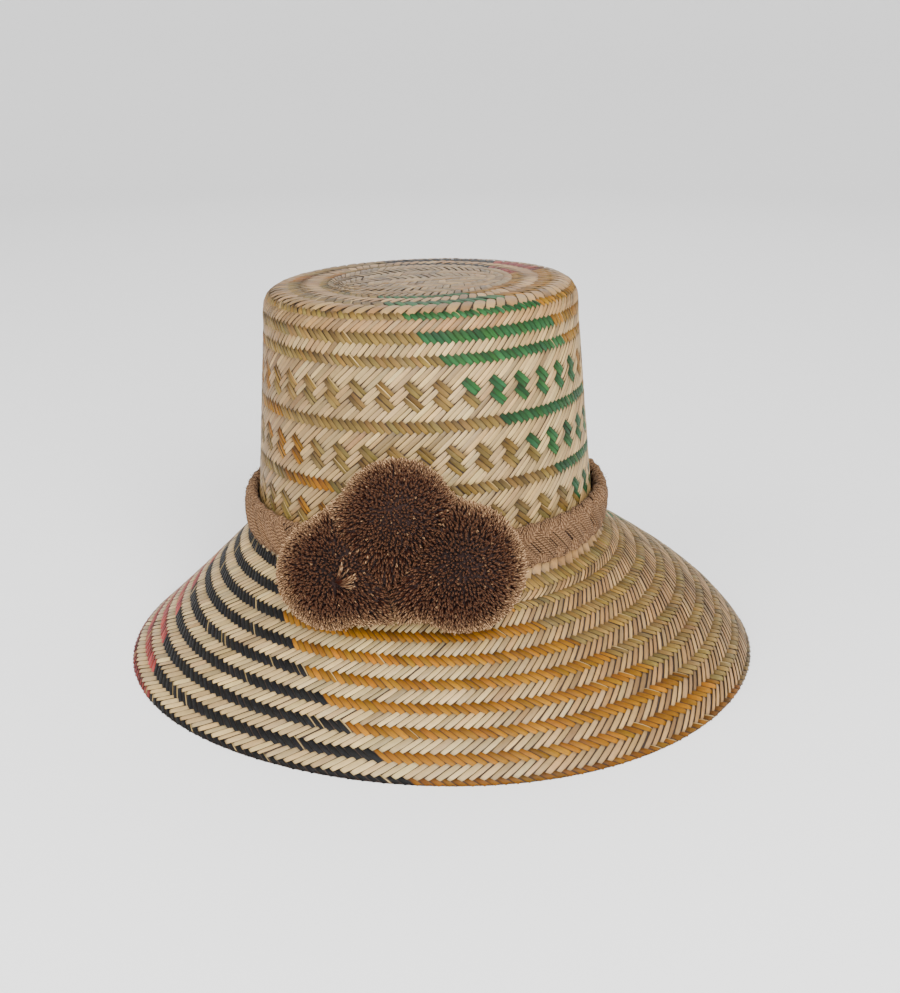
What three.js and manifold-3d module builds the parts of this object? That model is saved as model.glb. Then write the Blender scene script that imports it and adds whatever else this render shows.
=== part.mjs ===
// A woven straw hat: one straw body, a braided wool band and three wool pompoms.
// Units are millimetres, +Z is up. The origin is the centre of the rim, on the surface the rim rests on.
// -Y is the front, where the pompoms are.
import * as THREE from "three";
import { ConvexGeometry } from "three/addons/geometries/ConvexGeometry.js";
import { mergeVertices } from "three/addons/utils/BufferGeometryUtils.js";
import Module from "manifold-3d";

// Rim: nearly an ellipse in the resting plane. Each wave is how many times it goes round, then how far it moves
// the rim out along +X and how far a quarter wave later.
const rimHalfWidth = 176.209;
const rimHalfDepth = 170.512;
const rimWaves = [
  [2, 0, -0.271],
  [3, -0.063, -0.278],
  [4, -0.32, 1.024],
];

// Crown: a slightly tapered, slightly leaning cylinder with a rounded shoulder and a nearly flat top, which slopes
// up a little towards the front right.
const crownCentre = { x: -9.5, y: -5.0 };
const crownLean = 0.0172;
const crownFootHeight = 75.6;
const wallFootRadius = 92.4;
const wallTopRadius = 83.07;
const wallHeight = 111.59;
const shoulderReach = 18.59;
const shoulderHeight = 18.28;
const shoulderPower = 3.8;
const topDomeRise = 0.5;
const topSlope = { right: 0.0132, back: -0.016 };

// Brim: slopes from the crown's foot to the rim, bulging most towards the back right.
const brimFootRadius = 92.0;
const brimBulge = { mean: 0.634, right: 1.888, back: 2.226, rightTwice: 0.301, backTwice: 0.995 };
const brimSag = { mean: -2.599, right: -2.788, back: 0.295 };
const footFilletReach = 6.0;

// Straw: two layers of woven strands.
const strawThickness = 2.0;
const stepsAround = 64;
const topRows = 1;
const shoulderRows = 5;
const wallRows = 1;
const filletRows = 3;
const brimRows = 8;

// Band: a thick flat braid round the foot of the crown, its outer lower edge drooping over the brim.
const bandInnerRadius = 92.8;
const bandThickness = 7.4;
const bandFootHeight = 0.2;
const bandWidth = 20.4;
const bandDroop = 3.0;
const bandNarrowing = 1.5;
const bandSectionSides = 10;
const bandPlaits = 30;
const bandStepsPerPlait = 4;
const plaitRelief = 0.55;
const bandCornerPower = 2.7;

// Pompoms: balls of cut wool, pressed against the hat and each other.
const pompoms = [
  { name: "pompom_left", x: -51.2, y: -117.0, z: 85.9, radius: 28.7 },
  { name: "pompom_right", x: 9.2, y: -121.0, z: 90.0, radius: 32.0 },
  { name: "pompom_top", x: -21.2, y: -115.0, z: 112.3, radius: 29.5 },
];
const lockCount = 30;
const lockSides = 5;
const lockRootShare = 0.3;
const lockWaistShare = 0.9;
const lockWidthShare = 0.28;
const lockTipShare = 0.6;
const massInset = 3.0;
const massDetail = 1;
const pieceGap = 0.35;
const keepOutDepth = 14.0;

// Colours
const strawMaterial = new THREE.MeshStandardMaterial({ color: 0xcdb996, roughness: 0.6, metalness: 0 });
const bandMaterial = new THREE.MeshStandardMaterial({ color: 0x8c6c52, roughness: 0.95, metalness: 0 });
const pompomMaterial = new THREE.MeshStandardMaterial({ color: 0x553223, roughness: 0.95, metalness: 0 });

const wasm = await Module();
wasm.setup();

function mix(a, b, share) {
  return a + (b - a) * share;
}

// A point of the crown's own upright frame, at a radius, an angle and a height above the crown's foot,
// sheared so that the top slopes and then leaned over towards -X.
function leanedPoint(radius, angle, height) {
  const across = radius * Math.cos(angle);
  const deep = radius * Math.sin(angle);
  const up = height + (height / wallHeight) * (topSlope.right * across + topSlope.back * deep);
  return new THREE.Vector3(
    crownCentre.x + across * Math.cos(crownLean) - up * Math.sin(crownLean),
    crownCentre.y + deep,
    crownFootHeight + across * Math.sin(crownLean) + up * Math.cos(crownLean),
  );
}

function wallPoint(height, angle) {
  return leanedPoint(mix(wallFootRadius, wallTopRadius, height / wallHeight), angle, height);
}

// turn runs from 0 on the flat top to a quarter turn where the shoulder meets the wall. The section lies between
// an ellipse and a box.
function shoulderPoint(turn, angle) {
  const power = 2 / shoulderPower;
  const radius = wallTopRadius - shoulderReach + shoulderReach * Math.max(Math.sin(turn), 0) ** power;
  return leanedPoint(radius, angle, wallHeight + shoulderHeight * Math.max(Math.cos(turn), 0) ** power);
}

function topPoint(share, angle) {
  const rise = topDomeRise * (1 - share * share);
  return leanedPoint((wallTopRadius - shoulderReach) * share, angle, wallHeight + shoulderHeight + rise);
}

// The distance from the crown's axis to the rim, along one direction.
function rimRadius(angle) {
  const dx = Math.cos(angle) / rimHalfWidth;
  const dy = Math.sin(angle) / rimHalfDepth;
  const ox = crownCentre.x / rimHalfWidth;
  const oy = crownCentre.y / rimHalfDepth;
  const a = dx * dx + dy * dy;
  const b = dx * ox + dy * oy;
  const c = ox * ox + oy * oy - 1;
  const ellipse = (Math.sqrt(b * b - a * c) - b) / a;
  return rimWaves.reduce(
    (sum, [times, along, later]) => sum + along * Math.cos(times * angle) + later * Math.sin(times * angle),
    ellipse,
  );
}

// share runs from 0 at the crown's foot to 1 at the rim.
function brimPoint(share, angle) {
  const footHeight = crownFootHeight + Math.sin(crownLean) * brimFootRadius * Math.cos(angle);
  const run = rimRadius(angle) - brimFootRadius;
  const slant = Math.hypot(run, footHeight);
  const swell = 4 * share * (1 - share);
  const bulge =
    brimBulge.mean +
    brimBulge.right * Math.cos(angle) +
    brimBulge.back * Math.sin(angle) +
    brimBulge.rightTwice * Math.cos(2 * angle) +
    brimBulge.backTwice * Math.sin(2 * angle);
  const sag = brimSag.mean + brimSag.right * Math.cos(angle) + brimSag.back * Math.sin(angle);
  const lift = swell * (bulge + sag * (1 - 2 * share));
  const radius = brimFootRadius + run * share + (lift * footHeight) / slant;
  const height = footHeight * (1 - share) + (lift * run) / slant;
  return new THREE.Vector3(
    crownCentre.x + radius * Math.cos(angle),
    crownCentre.y + radius * Math.sin(angle),
    height,
  );
}

function brimFilletShare(angle) {
  return footFilletReach / Math.hypot(rimRadius(angle) - brimFootRadius, crownFootHeight);
}

// The hollow corner where the wall turns into the brim.
function filletPoint(share, angle) {
  const start = wallPoint(footFilletReach, angle);
  const corner = wallPoint(0, angle);
  const end = brimPoint(brimFilletShare(angle), angle);
  return start
    .multiplyScalar((1 - share) * (1 - share))
    .add(corner.multiplyScalar(2 * share * (1 - share)))
    .add(end.multiplyScalar(share * share));
}

// The hat's outer face at a place counted in zones: top 0 to 1, shoulder to 2, wall to 3, corner to 4, brim to 5.
function outerPoint(place, angle) {
  const zone = Math.min(Math.floor(place), 4);
  const share = place - zone;
  if (zone === 0) return topPoint(share, angle);
  if (zone === 1) return shoulderPoint((share * Math.PI) / 2, angle);
  if (zone === 2) return wallPoint(mix(wallHeight, footFilletReach, share), angle);
  if (zone === 3) return filletPoint(share, angle);
  return brimPoint(mix(brimFilletShare(angle), 1, share), angle);
}

// The outer face's normal in the upright plane through the crown's axis.
function outerNormal(place, angle) {
  if (place === 0) return new THREE.Vector3(-Math.sin(crownLean), 0, Math.cos(crownLean));
  const small = 0.001;
  const before = outerPoint(Math.max(place - small, 0), angle);
  const after = outerPoint(Math.min(place + small, 5), angle);
  const around = new THREE.Vector3(-Math.sin(angle), Math.cos(angle), 0);
  return after.sub(before).cross(around).normalize();
}

function offsetPoint(place, angle, offset) {
  return outerPoint(place, angle).addScaledVector(outerNormal(place, angle), offset);
}

// The last ring of an offset face, where it meets the resting plane.
function footPoint(angle, offset) {
  const rim = outerPoint(5, angle);
  const normal = outerNormal(5, angle);
  const outward = new THREE.Vector3(Math.cos(angle), Math.sin(angle), 0);
  return rim.addScaledVector(outward, offset / normal.dot(outward));
}

function zoneRows(firstZone, count) {
  return Array.from({ length: count }, (_, row) => firstZone + (row + 1) / count);
}

const shellPlaces = [
  ...zoneRows(0, topRows),
  ...zoneRows(1, shoulderRows),
  ...zoneRows(2, wallRows),
  ...zoneRows(3, filletRows),
  ...zoneRows(4, brimRows),
];

// A closed wall between two offsets of the hat's outer face, open below, with a flat ring as its foot.
function shellGeometry(outerOffset, innerOffset) {
  const positions = [];
  const triangles = [];
  const ringCount = shellPlaces.length;
  function addFace(offset, flip) {
    const first = positions.length / 3;
    positions.push(...offsetPoint(0, 0, offset).toArray());
    for (const place of shellPlaces) {
      for (let step = 0; step < stepsAround; step++) {
        const angle = (step * 2 * Math.PI) / stepsAround;
        const point = place === 5 ? footPoint(angle, offset) : offsetPoint(place, angle, offset);
        positions.push(...point.toArray());
      }
    }
    for (let step = 0; step < stepsAround; step++) {
      const next = (step + 1) % stepsAround;
      addTriangle(first, first + 1 + step, first + 1 + next, flip);
      for (let ring = 0; ring + 1 < ringCount; ring++) {
        const upper = first + 1 + ring * stepsAround;
        const lower = upper + stepsAround;
        addTriangle(upper + step, lower + step, lower + next, flip);
        addTriangle(upper + step, lower + next, upper + next, flip);
      }
    }
    return first + 1 + (ringCount - 1) * stepsAround;
  }
  function addTriangle(a, b, c, flip) {
    triangles.push(...(flip ? [a, c, b] : [a, b, c]));
  }
  const outerFoot = addFace(outerOffset, false);
  const innerFoot = addFace(innerOffset, true);
  for (let step = 0; step < stepsAround; step++) {
    const next = (step + 1) % stepsAround;
    addTriangle(outerFoot + step, innerFoot + step, innerFoot + next, false);
    addTriangle(outerFoot + step, innerFoot + next, outerFoot + next, false);
  }
  return indexedGeometry(positions, triangles);
}

function indexedGeometry(positions, triangles) {
  const geometry = new THREE.BufferGeometry();
  geometry.setAttribute("position", new THREE.Float32BufferAttribute(positions, 3));
  geometry.setIndex(triangles);
  return geometry;
}

// The braided band: a rounded flat section swept round the crown, with plaits as low swells in its face and edges.
// It is thinner on the left. extra grows the section on every side.
function bandGeometry(extra) {
  const steps = bandPlaits * bandStepsPerPlait;
  const middleHeight = bandFootHeight + bandWidth / 2;
  const positions = [];
  const triangles = [];
  for (let step = 0; step < steps; step++) {
    const angle = (step * 2 * Math.PI) / steps;
    const plaitTurn = (step * 2 * Math.PI) / bandStepsPerPlait;
    const halfThickness = (bandThickness - bandNarrowing * Math.max(-Math.cos(angle), 0)) / 2;
    for (let side = 0; side < bandSectionSides; side++) {
      const turn = (side * 2 * Math.PI) / bandSectionSides;
      const [across, up] = roundedSection(turn);
      const outward = Math.max(across, 0);
      const swell = plaitRelief * Math.cos(plaitTurn + Math.PI * side);
      const middleRadius = bandInnerRadius + halfThickness;
      const radius = middleRadius + across * (halfThickness + extra) + outward * (swell - plaitRelief);
      const droop = bandDroop * outward * Math.max(-up, 0);
      const height = middleHeight + up * (bandWidth / 2 + extra + outward * swell) - droop;
      positions.push(...leanedPoint(radius, angle, height).toArray());
    }
  }
  for (let step = 0; step < steps; step++) {
    const here = step * bandSectionSides;
    const there = ((step + 1) % steps) * bandSectionSides;
    for (let side = 0; side < bandSectionSides; side++) {
      const next = (side + 1) % bandSectionSides;
      triangles.push(here + side, there + side, there + next);
      triangles.push(here + side, there + next, here + next);
    }
  }
  return indexedGeometry(positions, triangles);
}

// A unit section between an ellipse and a box: across and up, each from -1 to 1.
function roundedSection(turn) {
  const power = 2 / bandCornerPower;
  const cos = Math.cos(turn);
  const sin = Math.sin(turn);
  return [Math.sign(cos) * Math.abs(cos) ** power, Math.sign(sin) * Math.abs(sin) ** power];
}

function toSolid(geometry) {
  geometry.deleteAttribute("normal");
  geometry.deleteAttribute("uv");
  const merged = mergeVertices(geometry, 0.0001);
  return new wasm.Manifold(
    new wasm.Mesh({
      numProp: 3,
      vertProperties: new Float32Array(merged.attributes.position.array),
      triVerts: new Uint32Array(merged.index.array),
    }),
  );
}

function toGeometry(solid) {
  const mesh = solid.getMesh();
  return indexedGeometry(Array.from(mesh.vertProperties), Array.from(mesh.triVerts));
}

// One lock of cut wool: a blunt tapered bundle along +Y, from near the ball's centre to its outer face.
function lockGeometry(radius) {
  const width = lockWidthShare * radius;
  const profile = [
    new THREE.Vector2(0, lockRootShare * radius),
    new THREE.Vector2(width * lockTipShare, lockRootShare * radius),
    new THREE.Vector2(width, lockWaistShare * radius),
    new THREE.Vector2(width * lockTipShare, radius),
    new THREE.Vector2(0, radius),
  ];
  return new THREE.LatheGeometry(profile, lockSides);
}

// Evenly spread directions over a ball, one for each lock.
function lockDirection(index) {
  const goldenTurn = Math.PI * (3 - Math.sqrt(5));
  const height = 1 - (2 * (index + 0.5)) / lockCount;
  const ringRadius = Math.sqrt(1 - height * height);
  const turn = goldenTurn * index;
  return new THREE.Vector3(ringRadius * Math.cos(turn), ringRadius * Math.sin(turn), height);
}

// The three balls press into one rounded mass, a little inside their outer faces.
function massGeometry() {
  const points = [];
  for (const pompom of pompoms) {
    const ball = new THREE.IcosahedronGeometry(pompom.radius - massInset, massDetail);
    ball.translate(pompom.x, pompom.y, pompom.z);
    const positions = ball.attributes.position;
    for (let index = 0; index < positions.count; index++) {
      points.push(new THREE.Vector3().fromBufferAttribute(positions, index));
    }
  }
  return new ConvexGeometry(points);
}

// One ball's locks, fused to the mass.
function pompomBall(pompom, mass) {
  let locks = null;
  for (let index = 0; index < lockCount; index++) {
    const turn = new THREE.Quaternion().setFromUnitVectors(new THREE.Vector3(0, 1, 0), lockDirection(index));
    const lock = toSolid(lockGeometry(pompom.radius).applyQuaternion(turn));
    locks = locks ? locks.add(lock) : lock;
  }
  return locks.translate([pompom.x, pompom.y, pompom.z]).add(mass);
}

// Cuts a ball where it presses flat against its neighbour, halfway between their round faces.
function trimAgainst(ball, pompom, neighbour) {
  const centre = new THREE.Vector3(pompom.x, pompom.y, pompom.z);
  const other = new THREE.Vector3(neighbour.x, neighbour.y, neighbour.z);
  const inward = centre.clone().sub(other);
  const distance = inward.length();
  inward.normalize();
  const fromCentre = (distance ** 2 + pompom.radius ** 2 - neighbour.radius ** 2) / (2 * distance);
  const offset = inward.dot(centre) - fromCentre + pieceGap / 2;
  return ball.trimByPlane(inward.toArray(), offset);
}

function largestPiece(solid) {
  const pieces = solid.decompose();
  return pieces.reduce((best, piece) => (piece.volume() > best.volume() ? piece : best));
}

function pompomGeometry(pompom, mass, keepOut) {
  let ball = pompomBall(pompom, mass);
  for (const neighbour of pompoms) {
    if (neighbour !== pompom) ball = trimAgainst(ball, pompom, neighbour);
  }
  return toGeometry(largestPiece(ball.subtract(keepOut)));
}

function addPiece(group, name, geometry, material) {
  geometry.computeVertexNormals();
  const mesh = new THREE.Mesh(geometry, material);
  mesh.name = name;
  group.add(mesh);
}

const hat = new THREE.Group();
addPiece(hat, "straw_body", shellGeometry(0, -strawThickness), strawMaterial);
addPiece(hat, "braided_band", bandGeometry(0), bandMaterial);
const strawKeepOut = toSolid(shellGeometry(pieceGap, -keepOutDepth));
const keepOut = strawKeepOut.add(toSolid(bandGeometry(pieceGap)));
const mass = toSolid(massGeometry());
for (const pompom of pompoms) {
  addPiece(hat, pompom.name, pompomGeometry(pompom, mass, keepOut), pompomMaterial);
}

export default hat;
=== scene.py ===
"""A woven straw hat: straw floats laid on the hat's faces, a braided wool band and three wool pompoms.

Places in the weave are counted in millimetres down the hat's outer face: from the middle of the top, over
the shoulder and down the wall to the crown's foot, and from there down the brim to the rim. Angles are
counted round the crown's axis, with -90 degrees at the front.
"""

import math
from collections import namedtuple

import bpy
import numpy as np
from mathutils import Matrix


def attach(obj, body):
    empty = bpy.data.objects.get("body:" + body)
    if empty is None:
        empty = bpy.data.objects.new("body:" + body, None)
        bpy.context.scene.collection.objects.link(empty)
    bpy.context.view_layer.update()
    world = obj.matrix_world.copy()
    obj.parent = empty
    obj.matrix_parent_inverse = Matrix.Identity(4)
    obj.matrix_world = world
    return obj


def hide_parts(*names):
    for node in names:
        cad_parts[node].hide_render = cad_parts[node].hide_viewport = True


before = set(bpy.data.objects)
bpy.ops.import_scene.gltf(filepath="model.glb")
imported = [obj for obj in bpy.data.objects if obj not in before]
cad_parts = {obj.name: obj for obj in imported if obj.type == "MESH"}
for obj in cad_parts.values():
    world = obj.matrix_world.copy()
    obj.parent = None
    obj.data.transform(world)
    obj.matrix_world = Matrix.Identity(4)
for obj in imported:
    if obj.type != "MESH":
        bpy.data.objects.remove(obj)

bl_info = {
    "name": "Woven straw hat",
    "version": (1, 0, 0),
    "blender": (4, 5, 0),
    "location": "3D View > Sidebar > Hat",
    "description": "Weaves the straw, braids the band and ties the pompoms of a straw hat",
    "category": "Object",
}

MM = 0.001
BODY = "root"

# The hat's faces, as the solid part has them, in millimetres
RIM_HALF_WIDTH = 176.209
RIM_HALF_DEPTH = 170.512
RIM_WAVES = [(2, 0.0, -0.271), (3, -0.063, -0.278), (4, -0.32, 1.024)]
CROWN_X = -9.5
CROWN_Y = -5.0
CROWN_LEAN = 0.0172
CROWN_FOOT_HEIGHT = 75.6
WALL_FOOT_RADIUS = 92.4
WALL_TOP_RADIUS = 83.07
WALL_HEIGHT = 111.59
SHOULDER_REACH = 18.59
SHOULDER_HEIGHT = 18.28
SHOULDER_POWER = 3.8
TOP_DOME_RISE = 0.5
TOP_STEPS = 12
SHOULDER_STEPS = 161
TOP_SLOPE_RIGHT = 0.0132
TOP_SLOPE_BACK = -0.016
BRIM_FOOT_RADIUS = 92.0
BRIM_BULGE = {"mean": 0.634, "right": 1.888, "back": 2.226, "right_twice": 0.301, "back_twice": 0.995}
BRIM_SAG = {"mean": -2.599, "right": -2.788, "back": 0.295}
FOOT_FILLET = 6.0
STRAW_THICKNESS = 2.0
BRIM_CHART_LENGTH = 110.0
NORMAL_STEP = 0.05
NORMAL_TURN = 0.0005
RIM_TURN_LENGTH = 1.6
RIM_FLATTENING = 0.35

# The band's section. The left side is thinner by the narrowing
BAND_INNER_RADIUS = 92.8
BAND_THICKNESS = 7.4
BAND_FOOT_HEIGHT = 0.2
BAND_WIDTH = 20.4
BAND_DROOP = 3.0
BAND_NARROWING = 1.5
BAND_CORNER_POWER = 2.7

# Pompoms: centre and radius, and how far inside the balls the mass lies that they press into
POMPOMS = {
    "pompom_left": ((-51.2, -117.0, 85.9), 28.7),
    "pompom_right": ((9.2, -121.0, 90.0), 32.0),
    "pompom_top": ((-21.2, -115.0, 112.3), 29.5),
}
MASS_INSET = 3.0

# A lattice of two families of strands. Strand a of the natural straw and strand b of the dyed straw cross in
# row a - b, at an angle that grows with a + b. rows and places table how far down the hat each row lies.
Chart = namedtuple("Chart", "strands phase rows places")

# A run of rows where one strand shows. width is 2 where two strands lie as one.
Floats = namedtuple("Floats", "strand first last width")


def linear(red, green, blue):
    """A colour given from 0 to 255 as a screen shows it, as the linear colour that Blender works in."""
    shares = np.array([red, green, blue]) / 255
    curve = ((shares + 0.055) / 1.055) ** 2.4
    return tuple(float(c) for c in np.where(shares < 0.04045, shares / 12.92, curve))


# Faces of the hat


def rim_radius(angle):
    """The distance from the crown's axis to the rim."""
    dx = np.cos(angle) / RIM_HALF_WIDTH
    dy = np.sin(angle) / RIM_HALF_DEPTH
    ox = CROWN_X / RIM_HALF_WIDTH
    oy = CROWN_Y / RIM_HALF_DEPTH
    a = dx * dx + dy * dy
    b = dx * ox + dy * oy
    c = ox * ox + oy * oy - 1
    radius = (np.sqrt(b * b - a * c) - b) / a
    for times, along, later in RIM_WAVES:
        radius = radius + along * np.cos(times * angle) + later * np.sin(times * angle)
    return radius


def leaned_point(radius, angle, height):
    """A point of the crown's upright frame, sheared so that the top slopes and leaned over with the crown."""
    across = radius * np.cos(angle)
    deep = radius * np.sin(angle)
    up = height + height / WALL_HEIGHT * (TOP_SLOPE_RIGHT * across + TOP_SLOPE_BACK * deep)
    x = CROWN_X + across * math.cos(CROWN_LEAN) - up * math.sin(CROWN_LEAN)
    z = CROWN_FOOT_HEIGHT + across * math.sin(CROWN_LEAN) + up * math.cos(CROWN_LEAN)
    return np.stack(np.broadcast_arrays(x, CROWN_Y + deep, z), -1)


def crown_profile():
    """Distance down from the top's middle, radius and height, as three tables."""
    share = np.linspace(0, 1, TOP_STEPS)[:-1]
    step = np.linspace(0, 1, SHOULDER_STEPS)
    turn = math.pi / 2 * (3 * step**2 - 2 * step**3)
    power = 2 / SHOULDER_POWER
    top_radius = WALL_TOP_RADIUS - SHOULDER_REACH
    top_height = WALL_HEIGHT + SHOULDER_HEIGHT
    radius = np.concatenate(
        [top_radius * share, top_radius + SHOULDER_REACH * np.sin(turn) ** power, [WALL_FOOT_RADIUS]]
    )
    shoulder = WALL_HEIGHT + SHOULDER_HEIGHT * np.maximum(np.cos(turn), 0) ** power
    height = np.concatenate([top_height + TOP_DOME_RISE * (1 - share**2), shoulder, [0]])
    steps = np.hypot(np.diff(radius), np.diff(height))
    return np.concatenate([[0], np.cumsum(steps)]), radius, height


PROFILE_PLACE, PROFILE_RADIUS, PROFILE_HEIGHT = crown_profile()
FOOT_PLACE = float(PROFILE_PLACE[-1])
RIM_PLACE = FOOT_PLACE + BRIM_CHART_LENGTH


def crown_point(place, angle):
    """A point of the crown's outer face."""
    radius = np.interp(place, PROFILE_PLACE, PROFILE_RADIUS)
    height = np.interp(place, PROFILE_PLACE, PROFILE_HEIGHT)
    return leaned_point(radius, angle, height)


def brim_lift(share, angle):
    """How far the brim bulges off the straight line from the crown's foot to the rim."""
    bulge = (
        BRIM_BULGE["mean"]
        + BRIM_BULGE["right"] * np.cos(angle)
        + BRIM_BULGE["back"] * np.sin(angle)
        + BRIM_BULGE["right_twice"] * np.cos(2 * angle)
        + BRIM_BULGE["back_twice"] * np.sin(2 * angle)
    )
    sag = BRIM_SAG["mean"] + BRIM_SAG["right"] * np.cos(angle) + BRIM_SAG["back"] * np.sin(angle)
    return 4 * share * (1 - share) * (bulge + sag * (1 - 2 * share))


def brim_point(share, angle):
    """share runs from 0 at the crown's foot to 1 at the rim."""
    foot_height = CROWN_FOOT_HEIGHT + math.sin(CROWN_LEAN) * BRIM_FOOT_RADIUS * np.cos(angle)
    run = rim_radius(angle) - BRIM_FOOT_RADIUS
    slant = np.hypot(run, foot_height)
    lift = brim_lift(share, angle)
    radius = BRIM_FOOT_RADIUS + run * share + lift * foot_height / slant
    height = foot_height * (1 - share) + lift * run / slant
    x = CROWN_X + radius * np.cos(angle)
    y = CROWN_Y + radius * np.sin(angle)
    return np.stack(np.broadcast_arrays(x, y, height), -1)


def outer_face(place, angle):
    """The hat's outer face at a place and an angle."""
    place, angle = np.broadcast_arrays(place, angle)
    share = np.clip((place - FOOT_PLACE) / BRIM_CHART_LENGTH, 0, 1)
    on_crown = (place < FOOT_PLACE)[..., None]
    point = np.where(on_crown, crown_point(np.minimum(place, FOOT_PLACE), angle), brim_point(share, angle))
    corner_share = ((place - FOOT_PLACE + FOOT_FILLET) / (2 * FOOT_FILLET))[..., None]
    start = crown_point(FOOT_PLACE - FOOT_FILLET, angle)
    corner = crown_point(FOOT_PLACE, angle)
    end = brim_point(FOOT_FILLET / BRIM_CHART_LENGTH, angle)
    back = 1 - corner_share
    fillet = back**2 * start + 2 * corner_share * back * corner + corner_share**2 * end
    return np.where((corner_share > 0) & (corner_share < 1), fillet, point)


def unit(vectors):
    return vectors / np.linalg.norm(vectors, axis=-1, keepdims=True)


def outer_normal(place, angle):
    below, above = np.minimum(place + NORMAL_STEP, RIM_PLACE), place - NORMAL_STEP
    down = outer_face(below, angle) - outer_face(above, angle)
    around = outer_face(place, angle + NORMAL_TURN) - outer_face(place, angle - NORMAL_TURN)
    return unit(np.cross(down, around))


def above_outer(place, angle, lift):
    """A point lift mm off the outer face."""
    return outer_face(place, angle) + outer_normal(place, angle) * lift[..., None]


def below_inner(place, angle, lift):
    """A point lift mm off the inner face, on the hollow side."""
    depth = STRAW_THICKNESS + lift
    return outer_face(place, angle) - outer_normal(place, angle) * depth[..., None]


def round_rim(place, angle, lift):
    """Follows the outer face to the rim, under the rim and a little way up the inner face."""
    place, angle, lift = np.broadcast_arrays(place, angle, lift)
    past = place - RIM_PLACE
    rim = outer_face(np.full(place.shape, RIM_PLACE), angle)
    normal = outer_normal(np.full(place.shape, RIM_PLACE), angle)
    outward = np.stack([np.cos(angle), np.sin(angle), np.zeros(angle.shape)], -1)
    slope = np.sum(normal * outward, -1)
    foot_width = STRAW_THICKNESS / slope
    rise = STRAW_THICKNESS * normal[..., 2] / slope
    inner_place = RIM_PLACE - rise - np.maximum(past - foot_width, 0)
    inner = outer_face(inner_place, angle) - STRAW_THICKNESS * outer_normal(inner_place, angle)
    foot = rim - outward * np.clip(past, 0, foot_width)[..., None]
    outer = outer_face(np.minimum(place, RIM_PLACE), angle)
    point = np.where((past < 0)[..., None], outer, np.where((past < foot_width)[..., None], foot, inner))
    over_edge = np.clip(past / RIM_TURN_LENGTH + 0.5, 0, 1)[..., None]
    up_inside = np.clip((past - foot_width) / RIM_TURN_LENGTH + 0.5, 0, 1)[..., None]
    down = np.array([0, 0, -1.0])
    facing = unit(normal * (1 - over_edge) + down * over_edge * (1 - up_inside) - normal * up_inside)
    flattened = np.where((past > 0) & (past < foot_width), RIM_FLATTENING, 1.0)
    return point + facing * (lift * flattened)[..., None]


# The weave's charts

CROWN_CHART = Chart(
    152,
    math.radians(-102.3),
    np.array([-9.5, -5.5, -3.5, 0.5, 3.5, 6.5, 9.5, 25.5, 28.5, 44.5, 47.5, 63.5, 66.5, 76.5]),
    np.array([68.3, 79.6, 82.9, 88.7, 94.4, 100.2, 105.4, 131.6, 137.3, 163.6, 169.1, 195.1, 200.4, 216.2]),
)
TOP_CHART = Chart(
    76,
    math.radians(-101.0),
    np.array([-2.5, 0.5, 2.5, 4.5, 6.5, 8.5, 10.5]),
    np.array([39.7, 47.9, 53.3, 61.8, 70.5, 79.6, 84.4]),
)
BRIM_RINGS = 8
BRIM_REPEAT = 7
BRIM_RING_PITCH = 12.7
BRIM_ROW_PITCH = BRIM_RING_PITCH / BRIM_REPEAT
BRIM_CHART = Chart(
    200,
    math.radians(-90.4),
    np.array([-10.0, 80.0]),
    FOOT_PLACE + 10.6 + BRIM_ROW_PITCH * np.array([-17.5, 72.5]),
)
# The brim's first ring lies further down at the front right
SLIPPED_RING = 4.2
SLIPPED_PLACES = [FOOT_PLACE - 2, FOOT_PLACE + 8, FOOT_PLACE + 12, FOOT_PLACE + 21]
SLIPPED_ANGLE = -25
SLIPPED_REACH = 80
SLIPPED_PLATEAU = 1.6
BRIM_EDGE_ROW = 61
BRIM_EDGE_LAST_ROW = 66
RIM_DYE_ROW = 62.0
WHOLE_DYE_ROWS = [(-5, -4), (1, 3), (7, 9), (26, 28), (45, 47), (64, 66)]
PLAIN_ROWS = [(-3, 0), (4, 6), (67, 72)]
FIGURE_ZONES = [9, 28, 47]
TOP_DYE_ROWS = [(1, 2), (5, 6)]
TOP_PLAIN_ROWS = [(3, 4), (7, 8)]

# In a figured zone, by strand number over four: rows in which the natural strand shows, then the dyed strand
FIGURE_NATURAL = [
    [(1, 4), (7, 10), (13, 16)],
    [(1, 5), (8, 11), (14, 16)],
    [(1, 6), (11, 16)],
    [(1, 7), (12, 16)],
]
FIGURE_DYED = [(6, 9), (5, 8), (10, 13), (9, 12)]
FIGURE_OFFSET = 6
FIGURE_REPEAT = 4
FIGURE_ROWS = 16

# Where the colour along the dyed strands changes, in degrees, at the reference row of each lattice
CROWN_DYES = [
    (-165, "orange"),
    (-144, "khaki"),
    (-63, "green"),
    (-11, "mustard"),
    (61, "red"),
    (91, "black"),
    (151, "khaki"),
]
BRIM_DYES = [(-151.3, "black"), (-91.3, "orange"), (-21.9, "khaki"), (57, "green"), (130, "red")]
CROWN_DYE_PLACES = [44.6, 67.1, 81, 91.6, 102.6, 134.1, 166.6, 182.3, 207.8]
CROWN_DYE_TURNS = [-52, -40, -32, -26, -20, 0, 23.3, 32.5, 50]


def place_of(chart, row):
    return np.interp(row, chart.rows, chart.places)


def angle_of(chart, a, b):
    return chart.phase + math.pi / chart.strands * (a + b)


def floats_of(entries):
    """Floats from a list of (strand, first row, last row, width)."""
    table = np.array(entries, float)
    return Floats(table[:, 0], table[:, 1], table[:, 2], table[:, 3])


def banded(chart, row_bands, width=1):
    """Every strand of one family, floating over each band of rows."""
    strands = range(0, chart.strands, width)
    return [(k, first, last, width) for first, last in row_bands for k in strands]


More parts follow.
